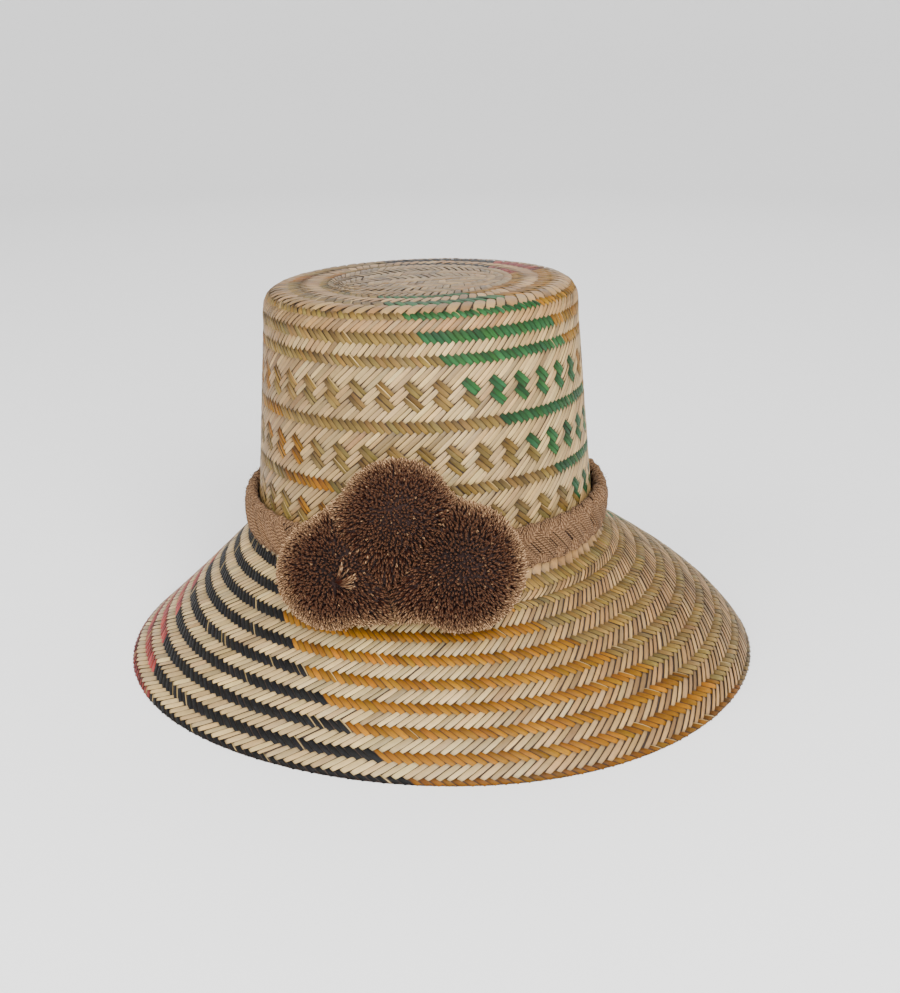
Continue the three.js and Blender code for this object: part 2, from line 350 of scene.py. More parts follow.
def figure_natural_floats(shown):
    """Natural strands in the figured zones, on the outer side if shown, or else where they show inside."""
    entries = []
    for zone in FIGURE_ZONES:
        for k in range(CROWN_CHART.strands):
            runs = FIGURE_NATURAL[(k - FIGURE_OFFSET - zone) % FIGURE_REPEAT]
            if not shown:
                runs = gaps_between(runs)
            entries += [(k, zone + first, zone + last, 1) for first, last in runs]
    return entries


def figure_dyed_floats(shown):
    entries = []
    for zone in FIGURE_ZONES:
        for k in range(CROWN_CHART.strands):
            first, last = FIGURE_DYED[k % FIGURE_REPEAT]
            runs = [(first, last)] if shown else [(1, first - 1), (last + 1, FIGURE_ROWS)]
            entries += [(k, zone + a, zone + b, 1) for a, b in runs]
    return entries


def gaps_between(runs):
    return [(before[1] + 1, after[0] - 1) for before, after in zip(runs, runs[1:])]


def brim_dye_bands():
    return [(BRIM_REPEAT * k - 2, BRIM_REPEAT * k) for k in range(1, BRIM_RINGS + 1)]


def brim_plain_bands(last=BRIM_RINGS):
    return [(BRIM_REPEAT * k + 1, BRIM_REPEAT * k + 4) for k in range(1, last + 1)]


# Shape of one float: (share of its length, crossings from there, lift in mm) down its length, and
# (share of its width, drop in mm) across it
SHORT_FLOAT = [
    (0, -0.42, -0.14),
    (0, -0.02, 0.16),
    (0, 0.38, 0.42),
    (0.5, 0, 0.5),
    (1, -0.38, 0.42),
    (1, 0.02, 0.16),
    (1, 0.42, -0.14),
]
LONG_FLOAT = SHORT_FLOAT[:3] + [(0.25, 0, 0.5), (0.5, 0, 0.5), (0.75, 0, 0.5)] + SHORT_FLOAT[4:]
EDGE_FLOAT = SHORT_FLOAT[:3] + [
    (0.24, 0, 0.5),
    (0.36, 0, 0.46),
    (0.48, 0, 0.42),
    (0.6, 0, 0.42),
    (0.75, 0, 0.45),
    (1, -0.3, 0.4),
    (1, 0.4, -0.1),
]
INNER_FLOAT = [(0, -0.3, 0.0), (0, 0.35, 0.38), (0.5, 0, 0.45), (1, -0.35, 0.38), (1, 0.3, 0.0)]
OUTER_SECTION = [(-0.5, 0.17), (-0.27, 0.0), (0.27, 0.0), (0.5, 0.17)]
INNER_SECTION = [(-0.5, 0.12), (0.0, 0.0), (0.5, 0.12)]
FACE_CLEARANCE = 0.12
INNER_CLEARANCE = 0.45
END_TAPER = 0.26
WIDE_TAPER = 0.04
SLACK_SPREAD = 0.06
TILT_SPREAD = 0.09
HEIGHT_SPREAD = 0.05
# Where natural strands lie loosely on the brim, and how much narrower and more rolled they are there
LOOSE_ANGLE = -25
LOOSE_REACH = 50
LOOSE_PLATEAU = 1.4
LOOSE_GAP = 0.15
LOOSE_ROLL = -0.16


class StrandEdges:
    """Where the gaps between neighbouring strands lie: each strand keeps its width all the way along."""

    def __init__(self, count, spread, gap, seed):
        rng = np.random.default_rng(seed)
        self.count = count
        self.shift = rng.normal(0, spread, count)
        self.gap = gap * (0.35 + rng.exponential(0.8, count))

    def sides(self, strand, width):
        first = strand.astype(int) % self.count
        last = (first + width.astype(int)) % self.count
        left = strand - 0.5 + self.shift[first] + self.gap[first] / 2
        right = strand + width - 0.5 + self.shift[last] - self.gap[last] / 2
        return left, right


def closeness(angle, middle, reach, plateau):
    """1 round the middle angle, in degrees, falling to 0 further round."""
    off = np.abs((np.degrees(angle) - middle + 180) % 360 - 180)
    return np.clip(plateau - off / reach, 0, 1)


def looseness(angle):
    """How loosely the natural strands lie on the brim, from 0 to 1."""
    return closeness(angle, LOOSE_ANGLE, LOOSE_REACH, LOOSE_PLATEAU)


def slipped(place, angle):
    """Places on the brim's outer face, with its first ring moved down where it has slipped."""
    share = closeness(angle, SLIPPED_ANGLE, SLIPPED_REACH, SLIPPED_PLATEAU)
    share = share * share * (3 - 2 * share)
    return place + share * np.interp(place, SLIPPED_PLACES, [0, SLIPPED_RING, SLIPPED_RING, 0])


def above_brim(place, angle, lift):
    return above_outer(slipped(place, angle), angle, lift)


def float_points(chart, floats, dyed, edges, shape, section, face, clearance, rng, lift_scale, loose):
    """Each float's points as (float, station, column, xyz). face is the function that puts a place, an angle
    and a lift on one of the hat's faces. loose has one share a float, by which it is narrower and rolled."""
    count = len(floats.strand)
    length = (floats.last - floats.first + 1)[:, None]
    share, offset, lift = (np.array(column)[None, :] for column in zip(*shape))
    slack = rng.normal(0, SLACK_SPREAD, (count, 1))
    run = share * length + offset + slack * np.sign(share - 0.5)
    left, right = edges.sides(floats.strand, floats.width)
    slack_side = LOOSE_GAP * loose * rng.uniform(0.4, 1.2, count) / 2
    left, right = left + slack_side, right - slack_side
    across, drop = (np.array(column)[None, None, :] for column in zip(*section))
    from_middle = np.clip(np.abs(2 * run / length - 1), 0, 1)
    taper = np.where(floats.width > 1, WIDE_TAPER, END_TAPER)[:, None]
    narrowed = (1 - taper * from_middle**3)[:, :, None]
    own = (left + right)[:, None, None] / 2 + (right - left)[:, None, None] * across * narrowed
    middle = (floats.strand + (floats.width - 1) / 2)[:, None, None]
    if dyed:
        b = own
        a = middle + floats.first[:, None, None] - 0.5 + run[:, :, None]
    else:
        a = own
        b = middle - floats.first[:, None, None] + 0.5 - run[:, :, None]
    tilt = rng.normal(0, TILT_SPREAD, (count, 1, 1)) + LOOSE_ROLL * loose[:, None, None]
    height = clearance + lift_scale * (lift[:, :, None] - drop + tilt * across)
    height = height + rng.normal(0, HEIGHT_SPREAD, (count, 1, 1))
    a, b = np.broadcast_arrays(a, b)
    return face(place_of(chart, a - b), angle_of(chart, a, b), np.broadcast_to(height, a.shape))


def middle_of(chart, floats, dyed):
    """The place and angle of each float's middle."""
    middle = floats.strand + (floats.width - 1) / 2
    row = (floats.first + floats.last) / 2
    a, b = (middle + row, middle) if dyed else (middle, middle - row)
    return place_of(chart, row), angle_of(chart, a, b)


# Colours of the strands

DYES = ("khaki", "green", "mustard", "orange", "red", "black")
CROWN_DYE_SHADE = 0.8
# Painted shade on the top: the share by which its straw is darkened, and how far in from the wall's top it
# begins, in mm
TOP_PAINTED_SHADE = 0.34
TOP_PAINTED_SHADE_START = 105

def dye_names(degrees, dyes):
    """The dye at each angle, for dyes listed as (first angle, name)."""
    starts = np.array([start for start, _ in dyes])
    turned = (degrees - starts[0]) % 360 + starts[0]
    index = np.searchsorted(starts, turned, side="right") - 1
    return np.array([dyes[i][1] for i in index])


def crown_dyes_at(place, angle):
    turn = np.interp(place, CROWN_DYE_PLACES, CROWN_DYE_TURNS)
    return dye_names(np.degrees(angle) - turn, CROWN_DYES)


def brim_dyes_at(row, angle):
    turn = 180 / BRIM_CHART.strands * (RIM_DYE_ROW - row)
    return dye_names(np.degrees(angle) + turn, BRIM_DYES)


def dyed_colours(names, straw, rng):
    table = {name: np.array(getattr(straw, name)) for name in DYES}
    colour = np.array([table[name] for name in names])
    return vary(colour, rng, 0.19, 0.09)


def natural_colours(tanned, straw, rng):
    """tanned has one share a float, by which it is the colour of browned straw."""
    tanned = np.clip(tanned + rng.normal(0, 0.16, len(tanned)), 0, 1)[:, None]
    colour = np.array(straw.natural) * (1 - tanned) + np.array(straw.tanned) * tanned
    return vary(colour, rng, 0.2, 0.03)


def vary(colour, rng, brightness, hue):
    """Moves each colour a little in brightness, and between green and pink and between blue and yellow."""
    count = len(colour)
    shade = 1 + rng.normal(0, brightness, (count, 1)).clip(-2.2 * brightness, 2.2 * brightness)
    pink = rng.normal(0, hue, (count, 1)) * np.array([[0.3, -0.3, 0.15]])
    warm = rng.normal(0, hue, (count, 1)) * np.array([[0.6, 0.2, -1.4]])
    return np.clip(colour * shade * (1 + pink + warm), 0, 1)


# Meshes


def new_piece(name, mesh, material, replaced=()):
    piece = bpy.data.objects.new(name, mesh)
    bpy.context.scene.collection.objects.link(piece)
    mesh.materials.append(material)
    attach(piece, BODY)
    if replaced:
        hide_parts(*replaced)
    return piece


def mesh_from_arrays(name, points, faces, corner_counts):
    """A mesh from points in mm and flat corner indices."""
    mesh = bpy.data.meshes.new(name)
    mesh.vertices.add(len(points))
    mesh.vertices.foreach_set("co", (points * MM).astype(np.float32).ravel())
    mesh.loops.add(len(faces))
    mesh.loops.foreach_set("vertex_index", faces.astype(np.int32))
    mesh.polygons.add(len(corner_counts))
    starts = np.concatenate([[0], np.cumsum(corner_counts)[:-1]])
    mesh.polygons.foreach_set("loop_start", starts.astype(np.int32))
    mesh.polygons.foreach_set("use_smooth", np.ones(len(corner_counts), bool))
    mesh.update(calc_edges=True)
    mesh.validate()
    return mesh


def add_value(mesh, name, values):
    attribute = mesh.attributes.new(name, "FLOAT", "POINT")
    attribute.data.foreach_set("value", values.astype(np.float32).ravel())


def add_colour(mesh, name, colours):
    attribute = mesh.color_attributes.new(name, "FLOAT_COLOR", "POINT")
    opaque = np.concatenate([colours, np.ones((len(colours), 1))], 1)
    attribute.data.foreach_set("color", opaque.astype(np.float32).ravel())


def add_map(mesh, name, coordinates):
    """A UV map from one coordinate pair a corner."""
    layer = mesh.uv_layers.new(name=name)
    layer.data.foreach_set("uv", coordinates.astype(np.float32).ravel())


# How far strands and yarns are strewn over the maps that carry their fibres
MAP_SPREAD = 400
YARN_MAP_SPREAD = 300
BAKE_MARGIN = 0.08
STRIP_ASPECT = 3.0
YARN_ASPECT = 1.6
# A yarn's cut end: how far it bulges, in yarn radii, and the share of the yarn's length that it counts as
CAP_RISE = 0.25
CAP_SHARE = 1.25


def baked_places(count, aspect, own):
    """Coordinates on the map for baking, where each of count items fills a cell of its own. own has the places
    on an item's unit square, as (item or 1, corner, 2). The cells are aspect times as wide as high."""
    columns = max(1, math.ceil(math.sqrt(count / aspect)))
    rows = math.ceil(count / columns)
    index = np.arange(count)
    corner = np.stack([(index % columns) / columns, (index // columns) / rows], -1)
    inset = BAKE_MARGIN + (1 - 2 * BAKE_MARGIN) * own
    return corner[:, None] + inset * np.array([1 / columns, 1 / rows])


def grid_quads(rows, columns, wrapped):
    """The corners of the quads between rows of points. wrapped joins the last column to the first."""
    grid = np.arange(rows * columns).reshape(rows, columns)
    beside = np.roll(grid, -1, 1)
    if not wrapped:
        grid, beside = grid[:, :-1], beside[:, :-1]
    return np.stack([grid[:-1], beside[:-1], beside[1:], grid[1:]], -1).reshape(-1, 4)


def distances(points):
    """How far down its row of points each point lies."""
    steps = np.linalg.norm(np.diff(points, axis=1), axis=-1)
    return np.concatenate([np.zeros((len(points), 1)), np.cumsum(steps, 1)], 1)


def strip_mesh(name, points, colours, bare, flip, rng):
    """Flat strips with their colour, their own coordinates along and across, and a place each on the map."""
    count, stations, columns, _ = points.shape
    each = stations * columns
    quads = grid_quads(stations, columns, False)[:, [0, 3, 2, 1]]
    if flip:
        quads = quads[:, ::-1]
    faces = (quads.ravel()[None, :] + (np.arange(count) * each)[:, None]).ravel()
    mesh = mesh_from_arrays(name, points.reshape(-1, 3), faces, np.full(count * len(quads), 4))

    down = distances(points[:, :, columns // 2])[:, :, None]
    sideways = distances(points[:, stations // 2])[:, None]
    along, across = np.broadcast_arrays(down / down[:, -1:], sideways / sideways[:, :, -1:])
    wide = np.linalg.norm(points[:, stations // 2, -1] - points[:, stations // 2, 0], axis=-1)
    tone = rng.random(count)
    start = rng.random((count, 1, 1, 2)) * MAP_SPREAD
    own = np.stack([across * wide[:, None, None], np.broadcast_to(down, across.shape)], -1) + start
    add_value(mesh, "along", along)
    add_value(mesh, "across", across)
    add_value(mesh, "tone", np.repeat(tone, each))
    add_value(mesh, "bare", np.repeat(bare, each))
    add_colour(mesh, "dye", np.repeat(colours, each, 0))
    add_map(mesh, "Strand", own.reshape(-1, 2)[faces])
    baked = baked_places(count, STRIP_ASPECT, np.stack([along, across], -1).reshape(count, each, 2))
    add_map(mesh, "OFBake", baked.reshape(-1, 2)[faces])
    return mesh


def tube_mesh(name, paths, radii, sides, rng, capped):
    """Yarns as tubes down their paths. radii has one number a path point."""
    count, stations, _ = paths.shape
    ahead = unit(np.gradient(paths, axis=1))
    chord = unit(paths[:, -1] - paths[:, 0])
    helper = unit(np.cross(chord, rng.normal(0, 1, (count, 3))))
    first = unit(np.cross(np.broadcast_to(helper[:, None], ahead.shape), ahead))
    second = np.cross(ahead, first)
    turn = np.arange(sides) * 2 * math.pi / sides
    ring = first[:, :, None] * np.cos(turn)[:, None] + second[:, :, None] * np.sin(turn)[:, None]
    points = paths[:, :, None] + ring * radii[:, :, None, None]
    points = points.reshape(count, stations * sides, 3)
    quads = grid_quads(stations, sides, True)
    corners = quads.ravel()
    corner_counts = np.full(len(quads), 4)
    down = distances(paths)
    share = np.repeat(down / down[:, -1:], sides, 1)
    around = np.arange(sides + 1) / sides
    side_map = np.stack([around[:-1], around[1:], around[1:], around[:-1]], -1)
    side_map = np.tile(side_map[None], (stations - 1, 1, 1)).reshape(-1)
    station_of = np.repeat(np.arange(stations - 1), sides)
    station_map = np.stack([station_of, station_of, station_of + 1, station_of + 1], -1).reshape(-1)
    if capped:
        tip = paths[:, -1] + ahead[:, -1] * radii[:, -1:] * CAP_RISE
        points = np.concatenate([points, tip[:, None]], 1)
        share = np.concatenate([share, np.full((count, 1), CAP_SHARE)], 1)
        centre = stations * sides
        edge = centre - sides + np.arange(sides)
        fan = np.stack([edge, np.roll(edge, -1), np.full(sides, centre)], -1)
        corners = np.concatenate([corners, fan.ravel()])
        corner_counts = np.concatenate([corner_counts, np.full(sides, 3)])
        side_map = np.concatenate([side_map, np.stack([around[:-1], around[1:], around[:-1]], -1).ravel()])
        station_map = np.concatenate([station_map, np.tile([stations - 1, stations - 1, stations], sides)])
    each = points.shape[1]
    faces = (corners[None] + (np.arange(count) * each)[:, None]).ravel()
    mesh = mesh_from_arrays(name, points.reshape(-1, 3), faces, np.tile(corner_counts, count))
    add_value(mesh, "along", share)
    add_value(mesh, "tone", np.repeat(rng.random(count), each))
    down_map = np.concatenate([down, down[:, -1:] + 0.4], 1)[:, station_map]
    start = rng.random((count, 1)) * YARN_MAP_SPREAD
    yarn_map = np.stack([np.tile(side_map, (count, 1)), down_map + start], -1)
    add_map(mesh, "Yarn", yarn_map)
    own = np.stack([station_map / stations, side_map], -1)[None]
    add_map(mesh, "OFBake", baked_places(count, YARN_ASPECT, own))
    return mesh


# Shader nodes


class Nodes:
    """Adds and joins nodes in one tree."""

    def __init__(self, tree):
        self.tree = tree

    def add(self, kind, **settings):
        node = self.tree.nodes.new(kind)
        for name, value in settings.items():
            setattr(node, name, value)
        return node

    def join(self, output, target):
        self.tree.links.new(output, target)

    def feed(self, target, value):
        """value is an output to link or a constant to set."""
        if isinstance(value, bpy.types.NodeSocket):
            self.join(value, target)
        else:
            target.default_value = value

    def math(self, operation, first, second=0.0, clamp=False):
        node = self.add("ShaderNodeMath", operation=operation, use_clamp=clamp)
        self.feed(node.inputs[0], first)
        self.feed(node.inputs[1], second)
        return node.outputs[0]

    def blend(self, share, first, second, kind="MIX"):
        node = self.add("ShaderNodeMix", data_type="RGBA", blend_type=kind)
        self.feed(node.inputs[0], share)
        self.feed(node.inputs[6], first)
        self.feed(node.inputs[7], second)
        return node.outputs[2]

    def span(self, value, low, high, to_low=0.0, to_high=1.0):
        node = self.add("ShaderNodeMapRange")
        self.feed(node.inputs[0], value)
        for index, number in enumerate((low, high, to_low, to_high), 1):
            self.feed(node.inputs[index], number)
        return node.outputs[0]

    def noise(self, vector, scale, detail=2.0, roughness=0.5):
        node = self.add("ShaderNodeTexNoise")
        self.feed(node.inputs["Vector"], vector)
        node.inputs["Scale"].default_value = scale
        node.inputs["Detail"].default_value = detail
        node.inputs["Roughness"].default_value = roughness
        return node.outputs[0]

    def stretched(self, vector, across, along):
        """The vector with its two directions scaled, so that a noise draws fibres."""
        parts = self.add("ShaderNodeSeparateXYZ")
        self.feed(parts.inputs[0], vector)
        joined = self.add("ShaderNodeCombineXYZ")
        self.feed(joined.inputs[0], self.math("MULTIPLY", parts.outputs[0], across))
        self.feed(joined.inputs[1], self.math("MULTIPLY", parts.outputs[1], along))
        return joined.outputs[0]

    def scaled(self, colour, factor):
        node = self.add("ShaderNodeVectorMath", operation="SCALE")
        self.feed(node.inputs[0], colour)
        self.feed(node.inputs["Scale"], factor)
        return node.outputs[0]

    def bump(self, height, strength, distance):
        node = self.add("ShaderNodeBump")
        node.inputs["Strength"].default_value = strength
        node.inputs["Distance"].default_value = distance
        self.join(height, node.inputs["Height"])
        return node.outputs[0]

    def group(self, tree, values):
        """A node group's outputs, with its inputs fed by name."""
        node = self.add("ShaderNodeGroup", node_tree=tree)
        for name, value in values.items():
            self.feed(node.inputs[name], value)
        return node.outputs

    def from_middle(self, value):
        """How far a value from 0 to 1 lies from the nearer of its two ends."""
        return self.math("SUBTRACT", 0.5, self.math("ABSOLUTE", self.math("SUBTRACT", value, 0.5)))

    def place(self):
        return self.add("ShaderNodeTexCoord").outputs["Object"]

    def attribute(self, name, output="Fac"):
        return self.add("ShaderNodeAttribute", attribute_name=name).outputs[output]

    def map(self, name):
        return self.add("ShaderNodeUVMap", uv_map=name).outputs[0]


def colour4(colour):
    return (*colour, 1.0)


def shader_group(name, inputs):
    """An empty node group, as its tree, its inputs and its outputs. inputs tells the kind of each by name."""
    tree = bpy.data.node_groups.new(name, "ShaderNodeTree")
    for socket, kind in inputs.items():
        tree.interface.new_socket(socket, in_out="INPUT", socket_type="NodeSocket" + kind)
    for socket, kind in (("Color", "Color"), ("Roughness", "Float"), ("Height", "Float")):
        tree.interface.new_socket(socket, in_out="OUTPUT", socket_type="NodeSocket" + kind)
    entry = tree.nodes.new("NodeGroupInput")
    leave = tree.nodes.new("NodeGroupOutput")
    return tree, entry.outputs, leave.inputs


def new_material(name):
    """A material, its Nodes and the inputs of its shader."""
    material = bpy.data.materials.new(name)
    material.use_nodes = True
    return material, Nodes(material.node_tree), material.node_tree.nodes["Principled BSDF"].inputs


def straw_fibre_group():
    """Fine fibres along a strand, painted shade on its edges and tucked ends, and an odd bare streak."""
    name = "Straw fibre"
    if name in bpy.data.node_groups:
        return bpy.data.node_groups[name]
    inputs = {"Strand": "Vector", "Dye": "Color", "Bare Straw": "Color"}
    inputs.update(dict.fromkeys(("Along", "Across", "Tone", "Bare", "Streaks", "Slack"), "Float"))
    tree, given, result = shader_group(name, inputs)
    n = Nodes(tree)
    fine = n.noise(n.stretched(given["Strand"], 7.0, 0.22), 1.0, 3.0, 0.6)
    broad = n.noise(n.stretched(given["Strand"], 1.7, 0.06), 1.0, 2.0)
    mottle = n.noise(n.stretched(given["Strand"], 0.5, 0.35), 1.0, 2.0)
    fibres = n.math("ADD", n.math("MULTIPLY", fine, 0.6), n.math("MULTIPLY", broad, 0.4))
    shade = n.math("MULTIPLY", n.math("SUBTRACT", fibres, 0.5), given["Streaks"])
    shade = n.math("ADD", shade, n.math("MULTIPLY", n.math("SUBTRACT", mottle, 0.5), 0.4))
    tinted = n.scaled(given["Dye"], n.math("ADD", shade, 1.0))

    # A streak that the dye missed, along one edge
    edge_start = n.math("ADD", 0.74, n.math("MULTIPLY", given["Tone"], 0.12))
    at_edge = n.span(given["Across"], edge_start, n.math("ADD", edge_start, 0.06))
    with_streak = n.blend(n.math("MULTIPLY", at_edge, given["Bare"]), tinted, given["Bare Straw"])

    # Painted shade: the edges and tucked ends are darkened as if shaded by the neighbouring strands, darker and
    # wider at the edges where a strand lies slack
    painted_edge_shade = n.math("SUBTRACT", 0.76, n.math("MULTIPLY", given["Slack"], 0.4))
    painted_shade_width = n.math("ADD", 0.1, n.math("MULTIPLY", given["Slack"], 0.08))
    edge = n.span(n.from_middle(given["Across"]), 0.0, painted_shade_width, painted_edge_shade, 1.0)
    # end is painted shade towards the tucked ends of the float
    end = n.span(n.from_middle(given["Along"]), 0.03, 0.17, 0.45, 1.0)
    n.feed(result["Color"], n.scaled(with_streak, n.math("MULTIPLY", edge, end)))
    n.feed(result["Roughness"], n.span(fine, 0.3, 0.7, 0.42, 0.6))
    n.feed(result["Height"], fibres)
    return tree


def straw_material(name, streaks, shaded_upper_tint, lit_lower_tint, bare_straw, gloss):
    """Straw whose colour is the strand's own, with painted shade at each float's upper end, where it passes
    under the crossing strand, turning to a painted lighter tint at its lower end.
    """
    material, n, shader = new_material(name)
    along = n.attribute("along")
    painted_light_tint = n.blend(n.span(along, 0.15, 0.75), colour4(shaded_upper_tint), colour4(lit_lower_tint))
    values = {
        "Strand": n.map("Strand"),
        "Dye": n.blend(1.0, n.attribute("dye", "Color"), painted_light_tint, "MULTIPLY"),
        "Bare Straw": colour4(bare_straw),
        "Streaks": streaks,
    }
    for value in ("Along", "Across", "Tone", "Bare", "Slack"):
        values[value] = n.attribute(value.lower())
    fibre = n.group(straw_fibre_group(), values)
    n.join(fibre["Color"], shader["Base Color"])
    n.join(fibre["Roughness"], shader["Roughness"])
    n.join(n.bump(fibre["Height"], 0.35, 0.0003), shader["Normal"])
    shader["Specular IOR Level"].default_value = gloss
    return material


def straw_backing_material(colour):
    """The straw under the floats, coloured dark as painted shade where it shows in the slits between them."""
    material, n, shader = new_material("Shaded straw")
    patches = n.noise(n.place(), 260.0, 4.0, 0.65)
    dark = tuple(c * 0.55 for c in colour)
    n.join(n.blend(n.span(patches, 0.3, 0.7), colour4(dark), colour4(colour)), shader["Base Color"])
    n.join(n.span(patches, 0.3, 0.7, 0.75, 0.95), shader["Roughness"])
    n.join(n.bump(patches, 0.4, 0.0004), shader["Normal"])
    return material


def wool_ply_group():
    """Twisted plies round a yarn, with loose fibres over them and painted shade in the grooves between the
    plies.
    """
    name = "Wool ply"
    if name in bpy.data.node_groups:
        return bpy.data.node_groups[name]
    inputs = {"Yarn": "Vector", "Ply Length": "Float", "Wool": "Color", "Deep Wool": "Color", "Tone": "Float"}
    tree, given, result = shader_group(name, inputs)
    n = Nodes(tree)
    parts = n.add("ShaderNodeSeparateXYZ")
    n.feed(parts.inputs[0], given["Yarn"])
    around = n.math("MULTIPLY", parts.outputs[0], 2.0)
    turns = n.math("ADD", around, n.math("DIVIDE", parts.outputs[1], given["Ply Length"]))
    ply = n.span(n.math("SINE", n.math("MULTIPLY", turns, 2 * math.pi)), -1.0, 1.0)
    fibres = n.noise(n.stretched(given["Yarn"], 9.0, 1.4), 1.0, 3.0, 0.6)
    depth = n.math("ADD", n.math("MULTIPLY", ply, 0.6), n.math("MULTIPLY", fibres, 0.4))
    # Painted shade: the grooves between the plies take the deep wool colour
    colour = n.blend(n.span(depth, 0.2, 0.75), given["Deep Wool"], given["Wool"])
    n.feed(result["Color"], n.scaled(colour, n.span(given["Tone"], 0.0, 1.0, 0.82, 1.18)))
    n.feed(result["Roughness"], n.span(fibres, 0.2, 0.8, 0.85, 1.0))
    n.feed(result["Height"], depth)
    return tree


def wool_material(name, wool, deep, ply_length):
    """wool and deep are functions that take the material's Nodes and give a constant or an output."""
    material, n, shader = new_material(name)
    values = {"Yarn": n.map("Yarn"), "Ply Length": ply_length, "Wool": wool(n), "Deep Wool": deep(n)}
    ply = n.group(wool_ply_group(), {**values, "Tone": n.attribute("tone")})
    n.join(ply["Color"], shader["Base Color"])
    n.join(ply["Roughness"], shader["Roughness"])
    n.join(n.bump(ply["Height"], 0.5, 0.0003), shader["Normal"])
    shader["Specular IOR Level"].default_value = 0.04
    shader["Sheen Weight"].default_value = 0.03
    shader["Sheen Roughness"].default_value = 0.5
    return material


# The woven straw


def brim_natural_colours(row, place, angle, straw, rng):
    """Natural straw on the brim, browned a little on the left and most where the strands lie loosely."""
    tanned = 0.2 * np.maximum(-np.cos(angle), 0) + 0.9 * looseness(angle)
    return natural_colours(tanned, straw, rng)


def crown_natural_colours(row, place, angle, straw, rng):
    """Natural straw on the crown, browned at its sides, back and top, where the browning at the sides and on
    the top is partly painted shade, and darkened with painted shade on its left and in the top's middle.
    """
    left = np.maximum(-np.cos(angle), 0)
    right = np.maximum(np.cos(angle), 0)
    tanned = 0.25 + 0.45 * left + 0.1 * right + 0.2 * np.maximum(np.sin(angle), 0)
    tanned = np.where(place < PROFILE_PLACE[-2], np.maximum(tanned, 0.8), tanned)
    on_top = np.clip((PROFILE_PLACE[-2] - TOP_PAINTED_SHADE_START - place) / 10, 0, 1)
    # Painted shade: darker on the left and in the top's middle
    shade = (1 - 0.22 * left) * (1 - TOP_PAINTED_SHADE * on_top)
    return shade[:, None] * natural_colours(tanned, straw, rng)


def crown_dye_colours(row, place, angle, straw, rng):
    return CROWN_DYE_SHADE * dyed_colours(crown_dyes_at(place, angle), straw, rng)


def brim_dye_colours(row, place, angle, straw, rng):
    return dyed_colours(brim_dyes_at(row, angle), straw, rng)


def colours_for(chart, dyed, inside):
    """The function that colours the floats of one chart, from their rows, places and angles."""
    if dyed:
        return brim_dye_colours if chart is BRIM_CHART else crown_dye_colours
    return brim_natural_colours if chart is BRIM_CHART and not inside else crown_natural_colours


def straw_materials(straw):
    """The natural and the dyed straw, made once."""
    if "Natural straw" not in bpy.data.materials:
        # Tints down each float: painted shade at the upper end and painted light at the lower end, stronger on
        # the dyed straw
        straw_material("Natural straw", 0.75, (0.9, 0.89, 0.87), (1.08, 1.08, 1.06), straw.natural, 0.34)
        straw_material("Dyed straw", 1.15, (0.62, 0.56, 0.5), (1.26, 1.28, 1.26), straw.bare_straw, 0.14)
    return bpy.data.materials["Natural straw"], bpy.data.materials["Dyed straw"]


def weave(straw, seed, name, chart, entries, dyed, shape=SHORT_FLOAT, face=above_outer):
    """One piece of floats, of dyed or of natural straw."""
    rng = np.random.default_rng(seed)
    floats = floats_of(entries)
    edges = StrandEdges(chart.strands, straw.strand_wander, straw.strand_gap, 10 + chart.strands + int(dyed))
    inside = face is below_inner
    section = INNER_SECTION if inside else OUTER_SECTION
    clearance = INNER_CLEARANCE if inside else FACE_CLEARANCE
    lift_scale = straw.strand_lift / (0.5 * MM)
    place, angle = middle_of(chart, floats, dyed)
    on_brim_outside = chart is BRIM_CHART and not dyed and not inside
    loose = looseness(angle) / floats.width if on_brim_outside else np.zeros(len(place))
    points = float_points(chart, floats, dyed, edges, shape, section, face, clearance, rng, lift_scale, loose)
    rows = (floats.first + floats.last) / 2
    colours = colours_for(chart, dyed, inside)(rows, place, angle, straw, rng)
    bare = np.where(rng.random(len(place)) < straw.bare_share, rng.uniform(0.5, 1.0, len(place)), 0.0)
    mesh = strip_mesh(name, points, colours, bare if dyed else bare * 0, inside, rng)
    add_value(mesh, "slack", np.repeat(loose, len(mesh.vertices) // len(loose)))
    return new_piece(name, mesh, straw_materials(straw)[int(dyed)])


def weave_all(straw, first_seed, pieces, **form):
    """Each of pieces is a name, a chart, its floats and whether they are dyed."""
    for index, piece in enumerate(pieces):
        weave(straw, first_seed + index, *piece, **form)


# The mat: oval bands round a line between two eyes, rounder towards the first ring
MAT_RADIUS = 48.6
MAT_BANDS = 5
MAT_SPACING = 4.0
MAT_OVERRUN = 0.24
MAT_SLANT = 1.1
MAT_EYES = ((-34.0, -16.0), (27.0, -2.0))


def mat_oval(share, turn):
    """A point of the oval at a share of the way out from the line between the eyes."""
    left, right = (np.array(eye) for eye in MAT_EYES)
    middle = (left + right) / 2
    half = np.linalg.norm(right - left) / 2
    tilt = math.atan2(right[1] - left[1], right[0] - left[0])
    along = (half + (MAT_RADIUS - half) * share) * np.cos(turn)
    beside = MAT_RADIUS * share * np.sin(turn)
    x = middle[0] * (1 - share) + along * math.cos(tilt) - beside * math.sin(tilt)
    y = middle[1] * (1 - share) + along * math.sin(tilt) + beside * math.cos(tilt)
    return x, y


